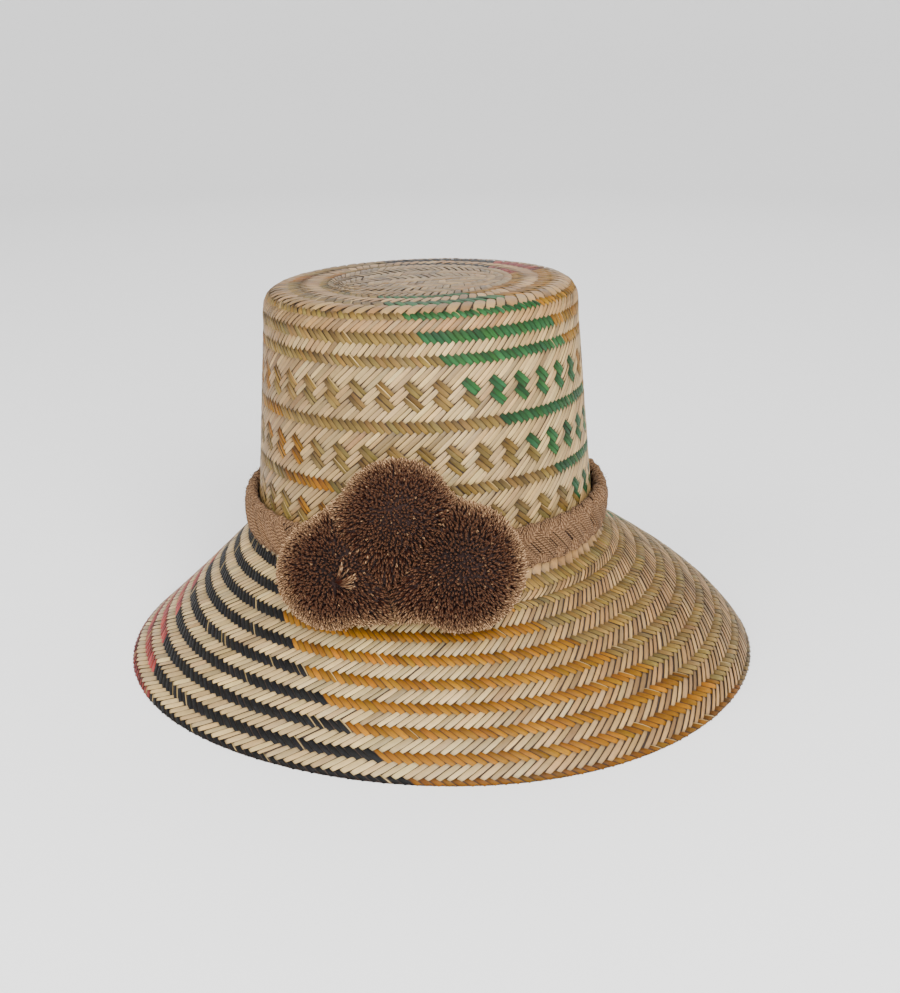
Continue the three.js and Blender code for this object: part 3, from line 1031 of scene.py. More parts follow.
def top_mat_points(rng):
    """Floats that lean by turns to the one and the other side in the mat's bands."""
    across, drop = (np.array(column)[None, None, :] for column in zip(*OUTER_SECTION))
    share, offset, lift = (np.array(column)[None, :, None] for column in zip(*SHORT_FLOAT))
    sets = []
    for band in range(MAT_BANDS):
        turns = np.linspace(0, 2 * math.pi, 400)
        x, y = mat_oval((band + 0.5) / MAT_BANDS, turns)
        arc = np.concatenate([[0], np.cumsum(np.hypot(np.diff(x), np.diff(y)))])
        count = round(arc[-1] / MAT_SPACING)
        slant = 1 if band % 2 else -1
        run = share + MAT_OVERRUN * offset + rng.normal(0, 0.03, (count, 1, 1))
        wide = across * rng.uniform(0.7, 0.9, (count, 1, 1))
        step = np.arange(count)[:, None, None] + rng.normal(0, 0.05, (count, 1, 1))
        step = step + wide + slant * (run - 0.5) * MAT_SLANT
        turn = np.interp(step % count * arc[-1] / count, arc, turns)
        out = (band + run - 0.3 * slant * wide / max(band, 1)) / MAT_BANDS
        x, y = mat_oval(np.clip(out, 0, 1.02), turn)
        tilt = rng.normal(0.3, 0.15, (count, 1, 1))
        sets.append((x, y, np.broadcast_to(FACE_CLEARANCE + lift - drop + tilt * across, x.shape)))
    return (np.concatenate(parts) for parts in zip(*sets))


def top_face_point(x, y, lift):
    """A point lift mm over the flat top, or below its inner face where lift is negative."""
    reach = np.hypot(x, y)
    share = reach / (WALL_TOP_RADIUS - SHOULDER_REACH)
    top = WALL_HEIGHT + SHOULDER_HEIGHT + TOP_DOME_RISE * (1 - share**2)
    return leaned_point(reach, np.arctan2(y, x), top + lift)


def weave_top_mat(straw):
    """The mat on both faces of the top."""
    natural, _ = straw_materials(straw)
    rng = np.random.default_rng(31)
    x, y, height = top_mat_points(rng)
    count = x.shape[0]
    outer = top_face_point(x, y, height)
    # The mat is darkened by the top's painted shade
    colours = (1 - TOP_PAINTED_SHADE) * natural_colours(np.full(count, 0.6), straw, rng)
    inner = top_face_point(x, y, -STRAW_THICKNESS - INNER_CLEARANCE - height)
    for name, points, flip in (("top_mat", outer, False), ("top_mat_inside", inner, True)):
        new_piece(name, strip_mesh(name, points, colours, np.zeros(count), flip, rng), natural)


# The band

BAND_NORMAL_STEP = 0.4
HAIR_RADIUS = 0.06


def band_section_table():
    """The band's section as arc length, radius and height, from its top inner edge to its bottom inner edge."""
    turn = np.linspace(math.radians(150), math.radians(-150), 400)
    power = 2 / BAND_CORNER_POWER
    across = np.sign(np.cos(turn)) * np.abs(np.cos(turn)) ** power
    up = np.sign(np.sin(turn)) * np.abs(np.sin(turn)) ** power
    radius = BAND_INNER_RADIUS + BAND_THICKNESS / 2 * (1 + across)
    droop = BAND_DROOP * np.maximum(across, 0) * np.maximum(-up, 0)
    height = BAND_FOOT_HEIGHT + BAND_WIDTH / 2 * (1 + up) - droop
    arc = np.concatenate([[0], np.cumsum(np.hypot(np.diff(radius), np.diff(height)))])
    return arc, radius, height


def band_point(arc, angle, lift, table):
    """A point on the band's face, lift mm off it."""
    places, radii, heights = table
    radius = np.interp(arc, places, radii)
    height = np.interp(arc, places, heights)
    after, before = arc + BAND_NORMAL_STEP, arc - BAND_NORMAL_STEP
    d_radius = np.interp(after, places, radii) - np.interp(before, places, radii)
    d_height = np.interp(after, places, heights) - np.interp(before, places, heights)
    size = np.hypot(d_radius, d_height) + 1e-9
    thinned = BAND_NARROWING / BAND_THICKNESS * np.maximum(-np.cos(angle), 0)
    radius = radius - (radius - BAND_INNER_RADIUS) * thinned
    return leaned_point(radius - d_height / size * lift, angle, height + d_radius / size * lift)


BAND_CORE_SIDES = 20
BAND_CORE_STEPS = 160
BAND_CORE_DEPTH = 1.5
BAND_BUNDLES = 52
BAND_ROWS_OVER = 2
BAND_ROWS = 6
YARNS_IN_BUNDLE = 8
BUNDLE_FILL = 0.92
BUNDLE_BULGE = 1.0
# One visible run of a bundle: rows from where it comes up, and its lift there in mm
BUNDLE_STATIONS = np.array([-0.5, -0.2, 0.25, 1.0, 1.75, 2.2, 2.5])
BUNDLE_LIFTS = np.array([-1.2, -0.48, 0.08, 0.28, 0.08, -0.48, -1.2])
BUNDLE_SINK = 0.75


def band_yarn_paths(rng):
    """Every visible run of a yarn. Bundles pass over two others, and rows of them lean to and fro by turns."""
    table = band_section_table()
    total = table[0][-1]
    pitch = total / BAND_ROWS
    paths = []
    for first in range(0, BAND_ROWS, BAND_ROWS_OVER):
        odd = (first // BAND_ROWS_OVER) % 2
        slant = 1 if odd else -1
        for bundle in range(BAND_BUNDLES):
            swell = rng.normal(0, 0.12)
            shift = rng.normal(0, 0.035)
            for yarn in range(YARNS_IN_BUNDLE):
                side = ((yarn + 0.5) / YARNS_IN_BUNDLE - 0.5) * BUNDLE_FILL + rng.normal(0, 0.015)
                turn = bundle * 2 + odd + shift + slant * (BUNDLE_STATIONS - 1.0 - side)
                angle = turn * math.pi / BAND_BUNDLES + rng.normal(0, 0.0008)
                bulge = BUNDLE_BULGE * (1 - (2 * side) ** 2)
                lift = BUNDLE_LIFTS + bulge + swell + rng.normal(0, 0.1) - BUNDLE_SINK
                arc = np.clip((first + BUNDLE_STATIONS + side) * pitch, 0.2, total - 0.2)
                paths.append(band_point(arc, angle, lift, table))
    return np.array(paths)


def band_core_mesh():
    """A dark ring under the braid's yarns: painted shade for the depths between them."""
    table = band_section_table()
    arcs = np.linspace(0.2, table[0][-1] - 0.2, BAND_CORE_SIDES)[None, :]
    angles = np.linspace(0, 2 * math.pi, BAND_CORE_STEPS, endpoint=False)[:, None]
    arcs, angles = np.broadcast_arrays(arcs, angles)
    points = band_point(arcs, angles, np.full(arcs.shape, -BAND_CORE_DEPTH), table)
    grid = np.arange(arcs.size).reshape(arcs.shape)
    ahead = np.roll(grid, -1, 0)
    quads = np.stack([grid, np.roll(grid, -1, 1), np.roll(ahead, -1, 1), ahead], -1).reshape(-1, 4)
    return mesh_from_arrays("band_core", points.reshape(-1, 3), quads.ravel(), np.full(len(quads), 4))


def fuzz_paths(points, normals, length, rng):
    """Short curled hairs that stand off a surface."""
    count = len(points)
    lean = unit(normals * 0.8 + rng.normal(0, 0.6, (count, 3)))
    curl = rng.normal(0, 0.5, (count, 3))
    reach = length * rng.uniform(0.4, 1.0, (count, 1))
    middle = points + lean * reach * 0.5 + curl * reach * 0.15
    end = points + lean * reach * 0.8 + curl * reach * 0.5
    return np.stack([points - normals * 0.4, middle, end], 1)


# The pompoms


def hat_clearance(points):
    """Roughly how far points lie outside the crown's wall, the brim and the band, in mm."""
    dx = points[..., 0] - CROWN_X
    dy = points[..., 1] - CROWN_Y
    dz = points[..., 2] - CROWN_FOOT_HEIGHT
    across = dx * math.cos(CROWN_LEAN) + dz * math.sin(CROWN_LEAN)
    height = -dx * math.sin(CROWN_LEAN) + dz * math.cos(CROWN_LEAN)
    radius = np.hypot(across, dy)
    wall = WALL_FOOT_RADIUS + (WALL_TOP_RADIUS - WALL_FOOT_RADIUS) * np.clip(height / WALL_HEIGHT, 0, 1)
    off_wall = radius - wall
    angle = np.arctan2(dy, dx)
    half_band = (BAND_THICKNESS - BAND_NARROWING * np.maximum(-np.cos(angle), 0)) / 2
    band_across = np.abs(radius - BAND_INNER_RADIUS - half_band) / half_band
    band_up = np.abs(height - BAND_FOOT_HEIGHT - BAND_WIDTH / 2) / (BAND_WIDTH / 2)
    corner = BAND_CORNER_POWER
    off_band = ((band_across**corner + band_up**corner) ** (1 / corner) - 1) * half_band
    foot_height = CROWN_FOOT_HEIGHT + math.sin(CROWN_LEAN) * BRIM_FOOT_RADIUS * np.cos(angle)
    run = rim_radius(angle) - BRIM_FOOT_RADIUS
    slant = np.hypot(run, foot_height)
    share = np.clip((np.hypot(dx, dy) - BRIM_FOOT_RADIUS) / run, 0, 1)
    surface = foot_height * (1 - share) + brim_lift(share, angle) * slant / run
    off_brim = (points[..., 2] - surface) * run / slant
    return np.minimum(np.minimum(off_wall, off_band), off_brim)


def yarn_directions(count, rng):
    """Directions spread evenly over a ball, each moved a little."""
    index = np.arange(count)
    height = 1 - 2 * (index + 0.5) / count
    turn = index * math.pi * (3 - math.sqrt(5))
    ring = np.sqrt(1 - height**2)
    even = np.stack([ring * np.cos(turn), ring * np.sin(turn), height], -1)
    return unit(even + rng.normal(0, 0.5 / math.sqrt(count), (count, 3)))


def mass_points():
    """Points spread over the triangle between the three pompoms' centres."""
    first, second, third = (np.array(centre) for centre, _ in POMPOMS.values())
    shares = [(i / 12, j / 12) for i in range(13) for j in range(13 - i)]
    return np.array([first + (second - first) * i + (third - first) * j for i, j in shares])


def off_mass(points, inset):
    """How far points lie outside the three balls and the rounded mass that they press into."""
    balls = [np.linalg.norm(points - np.array(place), axis=-1) - radius for place, radius in POMPOMS.values()]
    mean_radius = sum(radius for _, radius in POMPOMS.values()) / len(POMPOMS)
    nearest = np.full(points.shape[:-1], np.inf)
    for place in mass_points():
        nearest = np.minimum(nearest, np.linalg.norm(points - place, axis=-1))
    return np.minimum(np.min(balls, 0), nearest - mean_radius + inset)


def pompom_reach(name, directions, inset, margin):
    """How far yarns can run from the pompom's centre before they meet its face, a neighbour or the hat."""
    centre, radius = POMPOMS[name]
    centre = np.array(centre)
    reach = np.full(len(directions), 1.5 * radius)
    for other, (other_centre, other_radius) in POMPOMS.items():
        if other == name:
            continue
        between = np.array(other_centre) - centre
        distance = np.linalg.norm(between)
        plane = (distance**2 + radius**2 - other_radius**2) / (2 * distance) - 0.3
        towards = directions @ (between / distance)
        reach = np.where(towards > 0.01, np.minimum(reach, plane / np.maximum(towards, 0.01)), reach)
    shares = np.linspace(0.2, 1, 48)
    samples = centre + directions[:, None] * (reach[:, None] * shares)[..., None]
    clear = (hat_clearance(samples) > margin) & (off_mass(samples, MASS_INSET) < -inset[:, None])
    steps = np.cumprod(clear, 1).sum(1)
    limit = np.where(steps > 0, shares[np.maximum(steps - 1, 0)], 0)
    return reach * limit


YARN_CLEARANCE = 0.95
CORE_CLEARANCE = 0.9
CORE_DEPTH = 4.0
CORE_RINGS = 24
CORE_STEPS = 48
# Down a cut yarn: shares of its length, and its thickness there
YARN_SHARES = np.array([0.0, 0.55, 0.86, 1.0])
YARN_SWELL = np.array([0.75, 0.9, 1.0, 0.92])
# Where the left pompom's yarns part, seen from its centre, and how far round they are combed aside
PARTING = np.array([0.08, -0.97, 0.21])
PARTING_REACH = 0.42
PARTING_STRANDS = 10
# The cluster's middle and the way it faces; yarns that point away from it get pale tips, as painted light on
# the cluster's lit rim
CLUSTER_MIDDLE = np.array([-20.0, -108.0, 92.0])
CLUSTER_FACING = np.array([0.04, -0.92, 0.39])


def pompom_yarns(name, pompom, rng):
    """Paths, radii, and the painted rim light and fading of a pompom's cut yarns."""
    centre, radius = POMPOMS[name]
    count = pompom.yarn_count
    directions = yarn_directions(count, rng)
    wave = rng.normal(0, 1, (3, 3))
    dents = sum(np.sin(directions @ wave[i] * 3.0 + i) for i in range(3)) / 3
    inset = 0.5 - 0.6 * dents + rng.normal(0, 0.45, count)
    reach = pompom_reach(name, directions, inset, YARN_CLEARANCE)
    root = 0.5 * radius
    kept = reach > root + 2.0
    directions, reach = directions[kept], reach[kept]
    count = len(reach)
    along = root + (reach[:, None] - root) * YARN_SHARES
    bend = rng.normal(0, 1, (count, 3))
    bend = bend - directions * np.sum(bend * directions, -1, keepdims=True)
    droop = np.array([0, 0, -1.0]) - directions * -directions[:, 2:3]
    swing = bend * 0.5 + droop * 0.5
    if name == "pompom_left":
        aside = directions - unit(PARTING)
        near = np.clip(1 - np.linalg.norm(aside, axis=-1, keepdims=True) / PARTING_REACH, 0, 1)
        swing = swing + unit(aside) * near * (1 + np.clip(aside[:, :1] * 6, -0.8, 1)) * 2.6
    swing = swing[:, None] * (YARN_SHARES**2)[None, :, None]
    paths = np.array(centre) + directions[:, None] * along[..., None] + swing
    # Painted light: yarns at the cluster's rim, turned away from its front, get pale tips as if lit from
    # behind; a few at random are faded
    turned = np.clip((0.74 - directions @ CLUSTER_FACING) / 0.5, 0, 1)
    outward = np.clip((0.8 - unit(paths[:, -1] - CLUSTER_MIDDLE) @ CLUSTER_FACING) / 0.4, 0, 1)
    fade_and_rim_light = turned * outward * rng.uniform(0.5, 1.15, count) + 0.5 * (rng.random(count) < 0.03)
    if name == "pompom_left":
        paths = np.concatenate([paths, parting_strands(np.array(centre), radius, rng)])
        fade_and_rim_light = np.concatenate([fade_and_rim_light, rng.uniform(0.97, 1.05, PARTING_STRANDS)])
        count += PARTING_STRANDS
    thick = pompom.yarn_diameter / MM / 2 * rng.uniform(0.8, 1.15, count)
    return paths, thick[:, None] * YARN_SWELL, fade_and_rim_light


def parting_strands(centre, radius, rng):
    """Pale strands that lie over the pompom from its parting, most of them to the right and up."""
    facing = unit(PARTING)
    right = unit(np.cross([0, 0, 1.0], facing))
    up = np.cross(facing, right)
    turn = np.radians(np.linspace(-25, 75, PARTING_STRANDS) + rng.normal(0, 7, PARTING_STRANDS))[:, None]
    aside = right * np.cos(turn) + up * np.sin(turn)
    length = rng.uniform(7, 11, (PARTING_STRANDS, 1, 1))
    share = np.array([0.0, 0.35, 0.7, 1.0])[None, :, None]
    lying = facing + aside[:, None] * share * length / radius
    height = radius + np.array([-3.5, 0.3, 0.7, 0.2])[None, :, None]
    return centre + unit(lying) * (height + rng.normal(0, 0.2, (PARTING_STRANDS, 1, 1)))


def pompom_core_mesh(name):
    """A dark ball under the yarns, held inside them: painted shade for the depths of the pompom."""
    centre, radius = POMPOMS[name]
    tilt = (np.arange(1, CORE_RINGS) * math.pi / CORE_RINGS)[:, None]
    turn = (np.arange(CORE_STEPS) * 2 * math.pi / CORE_STEPS)[None, :]
    x = np.sin(tilt) * np.cos(turn)
    y = np.sin(tilt) * np.sin(turn)
    z = np.broadcast_to(np.cos(tilt), x.shape)
    directions = np.concatenate([[[0, 0, 1.0]], np.stack([x, y, z], -1).reshape(-1, 3), [[0, 0, -1.0]]])
    reach = pompom_reach(name, directions, np.full(len(directions), CORE_DEPTH), CORE_CLEARANCE)
    points = np.array(centre) + directions * np.maximum(reach, 0.2 * radius)[:, None]
    quads = 1 + grid_quads(CORE_RINGS - 1, CORE_STEPS, True)[:, [0, 3, 2, 1]]
    top = 1 + np.arange(CORE_STEPS)
    bottom = top + (CORE_RINGS - 2) * CORE_STEPS
    caps = [np.stack([0 * top, top, np.roll(top, -1)], -1)]
    caps.append(np.stack([0 * top + len(points) - 1, np.roll(bottom, -1), bottom], -1))
    corners = np.concatenate([quads.ravel(), np.concatenate(caps).ravel()])
    return mesh_from_arrays(name + "_core", points, corners, np.repeat([4, 3], [len(quads), 2 * CORE_STEPS]))


def pompom_material(pompom):
    name = "Pompom wool"
    if name in bpy.data.materials:
        return bpy.data.materials[name]

    def wool(n):
        # Each yarn darkens from its tip towards its root: painted shade deep among the yarns
        along = n.attribute("along")
        fade_and_rim_light = n.attribute("fade_and_rim_light")
        # Pale tips: painted rim light on the yarns turned away from the cluster's front, and real fading on a
        # few
        side = n.blend(n.span(fade_and_rim_light, 0.9, 1.2), colour4(pompom.middle), colour4(pompom.lit_and_faded_tip))
        rising = n.blend(n.span(along, 0.35, 0.9), colour4(pompom.root), side)
        tip = n.blend(n.span(fade_and_rim_light, 0.0, 1.0), colour4(pompom.tip), colour4(pompom.lit_and_faded_tip))
        tipped = n.blend(n.span(along, 0.86, 0.99), rising, tip)
        cut = n.blend(n.span(fade_and_rim_light, 0.0, 1.0, 0.2, 0.9), colour4(pompom.cut_end), tip)
        return n.blend(n.span(along, 0.995, 1.02), tipped, cut)

    def deep(n):
        along = n.attribute("along")
        return n.blend(n.span(along, 0.5, 1.0), colour4(pompom.root), colour4(pompom.middle))

    return wool_material(name, wool, deep, 2.6)


def depths_material(name, colour):
    """Dark wool deep between the yarns: painted shade for the depths, where only shade shows."""
    if name in bpy.data.materials:
        return bpy.data.materials[name]
    material, n, shader = new_material(name)
    spots = n.noise(n.place(), 900.0, 2.0)
    black = tuple(c * 0.6 for c in colour)
    n.join(n.blend(n.span(spots, 0.35, 0.65), colour4(black), colour4(colour)), shader["Base Color"])
    n.join(n.span(spots, 0.3, 0.7, 0.9, 1.0), shader["Roughness"])
    return material


# Settings


def colour_setting(name, description, red, green, blue):
    """A colour, whose default is given from 0 to 255 as a screen shows it."""
    colour = linear(red, green, blue)
    return bpy.props.FloatVectorProperty(name=name, description=description, subtype="COLOR", default=colour)


def length_setting(name, description, default):
    return bpy.props.FloatProperty(name=name, description=description, default=default, min=0.0, unit="LENGTH")


def share_setting(name, description, default):
    return bpy.props.FloatProperty(name=name, description=description, default=default, min=0.0)


def count_setting(name, description, default):
    return bpy.props.IntProperty(name=name, description=description, default=default, min=10)


class HatStrawSettings(bpy.types.PropertyGroup):
    strand_lift: length_setting("Strand lift", "How far the middle of a float stands off the hat", 0.5 * MM)
    strand_gap: share_setting("Strand gap", "Usual gap between strands, in widths of a strand", 0.05)
    strand_wander: share_setting("Strand wander", "How far strands stray from even spacing, in widths", 0.06)
    bare_share: share_setting("Bare share", "Share of dyed floats with a streak that the dye missed", 0.07)
    natural: colour_setting("Natural", "Undyed straw", 153, 130, 87)
    tanned: colour_setting("Tanned", "Undyed straw that has browned", 125, 92, 52)
    bare_straw: colour_setting("Bare straw", "Streaks that the dye missed", 160, 135, 88)
    # Painted shade: the dark colour of the straw seen in the slits
    shaded: colour_setting("Shaded straw", "Straw seen in the slits", 46, 30, 16)
    khaki: colour_setting("Khaki", "Khaki dye", 101, 80, 40)
    green: colour_setting("Green", "Green dye", 34, 73, 38)
    mustard: colour_setting("Mustard", "Mustard dye", 125, 88, 18)
    orange: colour_setting("Orange", "Orange dye", 110, 70, 3)
    red: colour_setting("Red", "Red dye", 118, 44, 40)
    black: colour_setting("Black", "Black dye", 9, 8, 8)


class HatBandSettings(bpy.types.PropertyGroup):
    yarn_diameter: length_setting("Yarn diameter", "Thickness of one yarn of the braid", 1.15 * MM)
    fuzz_length: length_setting("Fuzz length", "Length of the loose hairs", 2.6 * MM)
    fuzz_count: count_setting("Fuzz count", "Number of loose hairs", 3200)
    wool: colour_setting("Wool", "The yarn's crests", 127, 98, 71)
    # Painted shade between the plies, and in the band's depths under the yarns
    deep: colour_setting("Deep wool", "Between the yarn's plies", 58, 38, 25)


class HatPompomSettings(bpy.types.PropertyGroup):
    yarn_count: count_setting("Yarns", "Number of cut yarns in a whole pompom", 5700)
    yarn_diameter: length_setting("Yarn diameter", "Thickness of one cut yarn", 1.05 * MM)
    # Root and middle are painted shade deep among the yarns
    root: colour_setting("Root", "Deep in the pompom", 34, 11, 4)
    middle: colour_setting("Middle", "Yarn below its tip", 38, 15, 7)
    tip: colour_setting("Tip", "Yarn at its tip", 85, 59, 41)
    # Painted light on the tips at the cluster's rim, and the colour of the few faded yarns
    lit_and_faded_tip: colour_setting("Lit and faded tip", "Tip of a faded yarn", 186, 148, 108)
    cut_end: colour_setting("Cut end", "The cut face of a yarn", 64, 42, 29)


class HatStageSettings(bpy.types.PropertyGroup):
    floor: colour_setting("Floor", "Colour of the floor", 243, 243, 243)
    lens: bpy.props.FloatProperty(name="Lens", description="Focal length in mm", default=49.2)
    camera_height: length_setting("Camera height", "Height of the camera above the floor", 0.3409)
    camera_distance: length_setting("Camera distance", "From the camera to the rim's middle, level", 0.7188)
    camera_pitch: bpy.props.FloatProperty(
        name="Camera pitch", description="How far the camera looks down", default=0.3454, unit="ROTATION"
    )


# Operators

CAMERA_X = 0.004
# The floor, in metres: a disc whose edge bends up into a round wall
FLOOR_RADIUS = 2.0
FLOOR_BEND = 1.4
FLOOR_BEND_STEPS = 24
FLOOR_STEPS = 96
BACKDROP_TOP = 3.2
# Lights: place, size and power
LIGHTS = {
    "key": ((0.5, -1.75, 1.2), 1.5, 95.0),
    "fill": ((-1.3, -1.2, 1.0), 1.6, 34.0),
    "back": ((0.2, 1.5, 1.5), 1.6, 10.0),
}
LIT_HEIGHT = 0.1


def floor_mesh():
    """A disc with a bent edge and a wall."""
    bend = np.arange(1, FLOOR_BEND_STEPS + 1) / FLOOR_BEND_STEPS * math.pi / 2
    edge = FLOOR_RADIUS + FLOOR_BEND
    radius = np.array([FLOOR_RADIUS / 2, FLOOR_RADIUS, *(FLOOR_RADIUS + FLOOR_BEND * np.sin(bend)), edge])
    height = np.array([0, 0, *(FLOOR_BEND - FLOOR_BEND * np.cos(bend)), BACKDROP_TOP])
    turn = np.arange(FLOOR_STEPS) * math.tau / FLOOR_STEPS
    x, y = radius[:, None] * np.cos(turn), radius[:, None] * np.sin(turn)
    points = np.stack(np.broadcast_arrays(x, y, height[:, None]), -1).reshape(-1, 3)
    quads = grid_quads(len(radius), FLOOR_STEPS, True)[:, [0, 3, 2, 1]]
    mesh = bpy.data.meshes.new("floor")
    mesh.from_pydata(points.tolist(), [], [list(range(FLOOR_STEPS)), *quads.tolist()])
    mesh.polygons.foreach_set("use_smooth", [True] * len(mesh.polygons))
    return mesh

class HAT_OT_stage(bpy.types.Operator):
    """Adds the floor, the camera and the lights"""

    bl_idname = "hat.stage"
    bl_label = "Stage"

    def execute(self, context):
        stage = context.scene.hat_stage
        data = bpy.data.cameras.new("camera")
        data.lens = stage.lens
        data.sensor_width = 36.0
        data.clip_start = 0.01
        camera = bpy.data.objects.new("camera", data)
        context.scene.collection.objects.link(camera)
        camera.location = (CAMERA_X, -stage.camera_distance, stage.camera_height)
        camera.rotation_euler = (math.pi / 2 - stage.camera_pitch, 0, 0)
        context.scene.camera = camera

        floor = bpy.data.objects.new("floor", floor_mesh())
        context.scene.collection.objects.link(floor)
        material, n, shader = new_material("Pale floor")
        soft = tuple(c * 0.985 for c in stage.floor)
        grain = n.noise(n.place(), 40.0, 3.0)
        n.join(n.blend(grain, colour4(soft), colour4(stage.floor)), shader["Base Color"])
        shader["Roughness"].default_value = 0.9
        floor.data.materials.append(material)

        world = bpy.data.worlds.new("Studio")
        context.scene.world = world
        world.use_nodes = True
        background = world.node_tree.nodes["Background"]
        background.inputs["Color"].default_value = (1, 1, 1, 1)
        background.inputs["Strength"].default_value = 0.85
        for name, (place, size, power) in LIGHTS.items():
            self.add_light(context, name, place, size, power)
        return {"FINISHED"}

    def add_light(self, context, name, place, size, power):
        data = bpy.data.lights.new(name, "AREA")
        data.shape = "DISK"
        data.size = size
        data.energy = power
        light = bpy.data.objects.new(name, data)
        context.scene.collection.objects.link(light)
        light.location = place
        aim = np.array([0, 0, LIT_HEIGHT]) - np.array(place)
        level = math.hypot(aim[0], aim[1])
        light.rotation_euler = (math.pi / 2 + math.atan2(aim[2], level), 0, math.atan2(-aim[0], aim[1]))


class HAT_OT_crown(bpy.types.Operator):
    """Weaves the floats on the crown's outer face"""

    bl_idname = "hat.crown"
    bl_label = "Crown weave"

    def execute(self, context):
        straw = context.scene.hat_straw
        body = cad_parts["straw_body"]
        body.data.materials.clear()
        body.data.materials.append(straw_backing_material(straw.shaded))
        plain = banded(CROWN_CHART, PLAIN_ROWS)
        rings = banded(CROWN_CHART, WHOLE_DYE_ROWS)
        weave(straw, 1, "crown_plain", CROWN_CHART, plain, False)
        weave(straw, 2, "crown_figures", CROWN_CHART, figure_natural_floats(True), False, LONG_FLOAT)
        pieces = [
            ("crown_rings", CROWN_CHART, rings, True),
            ("crown_dyed_figures", CROWN_CHART, figure_dyed_floats(True), True),
            ("top_plain", TOP_CHART, banded(TOP_CHART, TOP_PLAIN_ROWS), False),
            ("top_rings", TOP_CHART, banded(TOP_CHART, TOP_DYE_ROWS), True),
        ]
        weave_all(straw, 3, pieces)
        weave_top_mat(straw)
        return {"FINISHED"}


class HAT_OT_brim(bpy.types.Operator):
    """Weaves the floats on the brim's outer face and round its rim"""

    bl_idname = "hat.brim"
    bl_label = "Brim weave"

    def execute(self, context):
        straw = context.scene.hat_straw
        pieces = [
            ("brim_foot", BRIM_CHART, banded(BRIM_CHART, [(-2, 4)], 2), False),
            ("brim_plain", BRIM_CHART, banded(BRIM_CHART, brim_plain_bands()), False),
            ("brim_rings", BRIM_CHART, banded(BRIM_CHART, brim_dye_bands()), True),
        ]
        weave_all(straw, 11, pieces, face=above_brim)
        edge = banded(BRIM_CHART, [(BRIM_EDGE_ROW, BRIM_EDGE_LAST_ROW)])
        weave(straw, 14, "rim_fold", BRIM_CHART, edge, True, EDGE_FLOAT, round_rim)
        return {"FINISHED"}


class HAT_OT_inside(bpy.types.Operator):
    """Weaves the floats that show inside the crown and under the brim"""

    bl_idname = "hat.inside"
    bl_label = "Inside weave"

    def execute(self, context):
        straw = context.scene.hat_straw
        crown_natural = banded(CROWN_CHART, WHOLE_DYE_ROWS) + figure_natural_floats(False)
        crown_dyed = banded(CROWN_CHART, PLAIN_ROWS) + figure_dyed_floats(False)
        brim_dyed = banded(BRIM_CHART, [(1, 4)] + brim_plain_bands(BRIM_RINGS - 1))
        pieces = [
            ("crown_inside_natural", CROWN_CHART, crown_natural, False),
            ("crown_inside_dyed", CROWN_CHART, crown_dyed, True),
            ("top_inside_natural", TOP_CHART, banded(TOP_CHART, TOP_DYE_ROWS), False),
            ("top_inside_dyed", TOP_CHART, banded(TOP_CHART, TOP_PLAIN_ROWS), True),
            ("brim_under_natural", BRIM_CHART, banded(BRIM_CHART, brim_dye_bands()), False),
            ("brim_under_dyed", BRIM_CHART, brim_dyed, True),
        ]
        weave_all(straw, 21, pieces, shape=INNER_FLOAT, face=below_inner)
        return {"FINISHED"}


class HAT_OT_band(bpy.types.Operator):
    """Braids the wool band round the crown's foot"""

    bl_idname = "hat.band"
    bl_label = "Braided band"

    def execute(self, context):
        band = context.scene.hat_band
        rng = np.random.default_rng(41)
        paths = band_yarn_paths(rng)
        thick = band.yarn_diameter / MM / 2 * rng.uniform(0.85, 1.1, (len(paths), 1))
        radii = np.broadcast_to(thick, paths.shape[:2])
        mesh = tube_mesh("band_yarns", paths, radii, 5, rng, False)
        material = wool_material("Band wool", lambda n: colour4(band.wool), lambda n: colour4(band.deep), 2.0)
        new_piece("band_yarns", mesh, material, ["braided_band"])
        core_material = depths_material("Band depths", band.deep)
        new_piece("band_core", band_core_mesh(), core_material, ["braided_band"])
        table = band_section_table()
        arc = rng.uniform(5, table[0][-1] - 5, band.fuzz_count)
        angle = rng.uniform(0, 2 * math.pi, band.fuzz_count)
        start = band_point(arc, angle, np.zeros(band.fuzz_count), table)
        normals = unit(band_point(arc, angle, np.ones(band.fuzz_count), table) - start)
        hairs = fuzz_paths(start, normals, band.fuzz_length / MM, rng)
        fuzz = tube_mesh("band_fuzz", hairs, np.full(hairs.shape[:2], HAIR_RADIUS), 3, rng, False)
        new_piece("band_fuzz", fuzz, material, ["braided_band"])
        return {"FINISHED"}


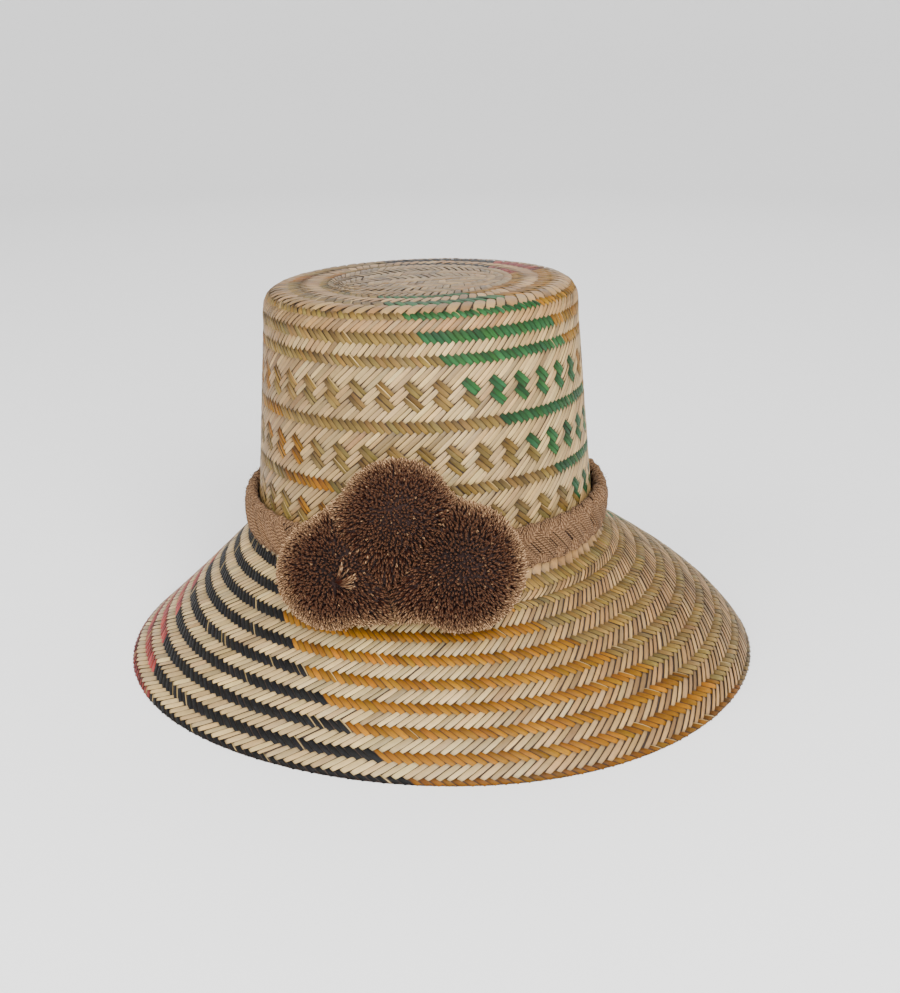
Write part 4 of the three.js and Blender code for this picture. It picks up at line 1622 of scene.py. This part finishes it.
class HAT_OT_pompoms(bpy.types.Operator):
    """Ties the three wool pompoms"""

    bl_idname = "hat.pompoms"
    bl_label = "Pompoms"

    def execute(self, context):
        pompom = context.scene.hat_pompom
        material = pompom_material(pompom)
        core_material = depths_material("Pompom depths", pompom.root)
        for index, name in enumerate(POMPOMS):
            rng = np.random.default_rng(51 + index)
            paths, radii, fade_and_rim_light = pompom_yarns(name, pompom, rng)
            mesh = tube_mesh(name + "_yarns", paths, radii, 4, rng, True)
            add_value(mesh, "fade_and_rim_light", np.repeat(fade_and_rim_light, len(mesh.vertices) // len(fade_and_rim_light)))
            new_piece(name + "_yarns", mesh, material, [name])
            core = pompom_core_mesh(name)
            new_piece(name + "_depths", core, core_material, [name])
        return {"FINISHED"}


class HAT_PT_panel(bpy.types.Panel):
    """Lists the hat's pieces"""

    bl_idname = "HAT_PT_panel"
    bl_label = "Straw hat"
    bl_space_type = "VIEW_3D"
    bl_region_type = "UI"
    bl_category = "Hat"

    def draw(self, context):
        for settings, operators in PANEL_ROWS:
            box = self.layout.box()
            group = getattr(context.scene, settings)
            for name in group.__annotations__:
                box.prop(group, name)
            for operator in operators:
                box.operator(operator)


PANEL_ROWS = [
    ("hat_stage", ["hat.stage"]),
    ("hat_straw", ["hat.crown", "hat.brim", "hat.inside"]),
    ("hat_band", ["hat.band"]),
    ("hat_pompom", ["hat.pompoms"]),
]
SETTINGS = {
    "hat_straw": HatStrawSettings,
    "hat_band": HatBandSettings,
    "hat_pompom": HatPompomSettings,
    "hat_stage": HatStageSettings,
}
OPERATORS = [HAT_OT_stage, HAT_OT_crown, HAT_OT_brim, HAT_OT_inside, HAT_OT_band, HAT_OT_pompoms]


def register():
    for group in SETTINGS.values():
        bpy.utils.register_class(group)
    for kind in [*OPERATORS, HAT_PT_panel]:
        bpy.utils.register_class(kind)
    for name, group in SETTINGS.items():
        setattr(bpy.types.Scene, name, bpy.props.PointerProperty(type=group))


def unregister():
    for name in SETTINGS:
        delattr(bpy.types.Scene, name)
    for kind in [HAT_PT_panel, *reversed(OPERATORS), *SETTINGS.values()]:
        bpy.utils.unregister_class(kind)


def main():
    register()
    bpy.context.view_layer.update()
    for operator in OPERATORS:
        group, name = operator.bl_idname.split(".")
        getattr(getattr(bpy.ops, group), name)()


if __name__ == "__main__":
    main()
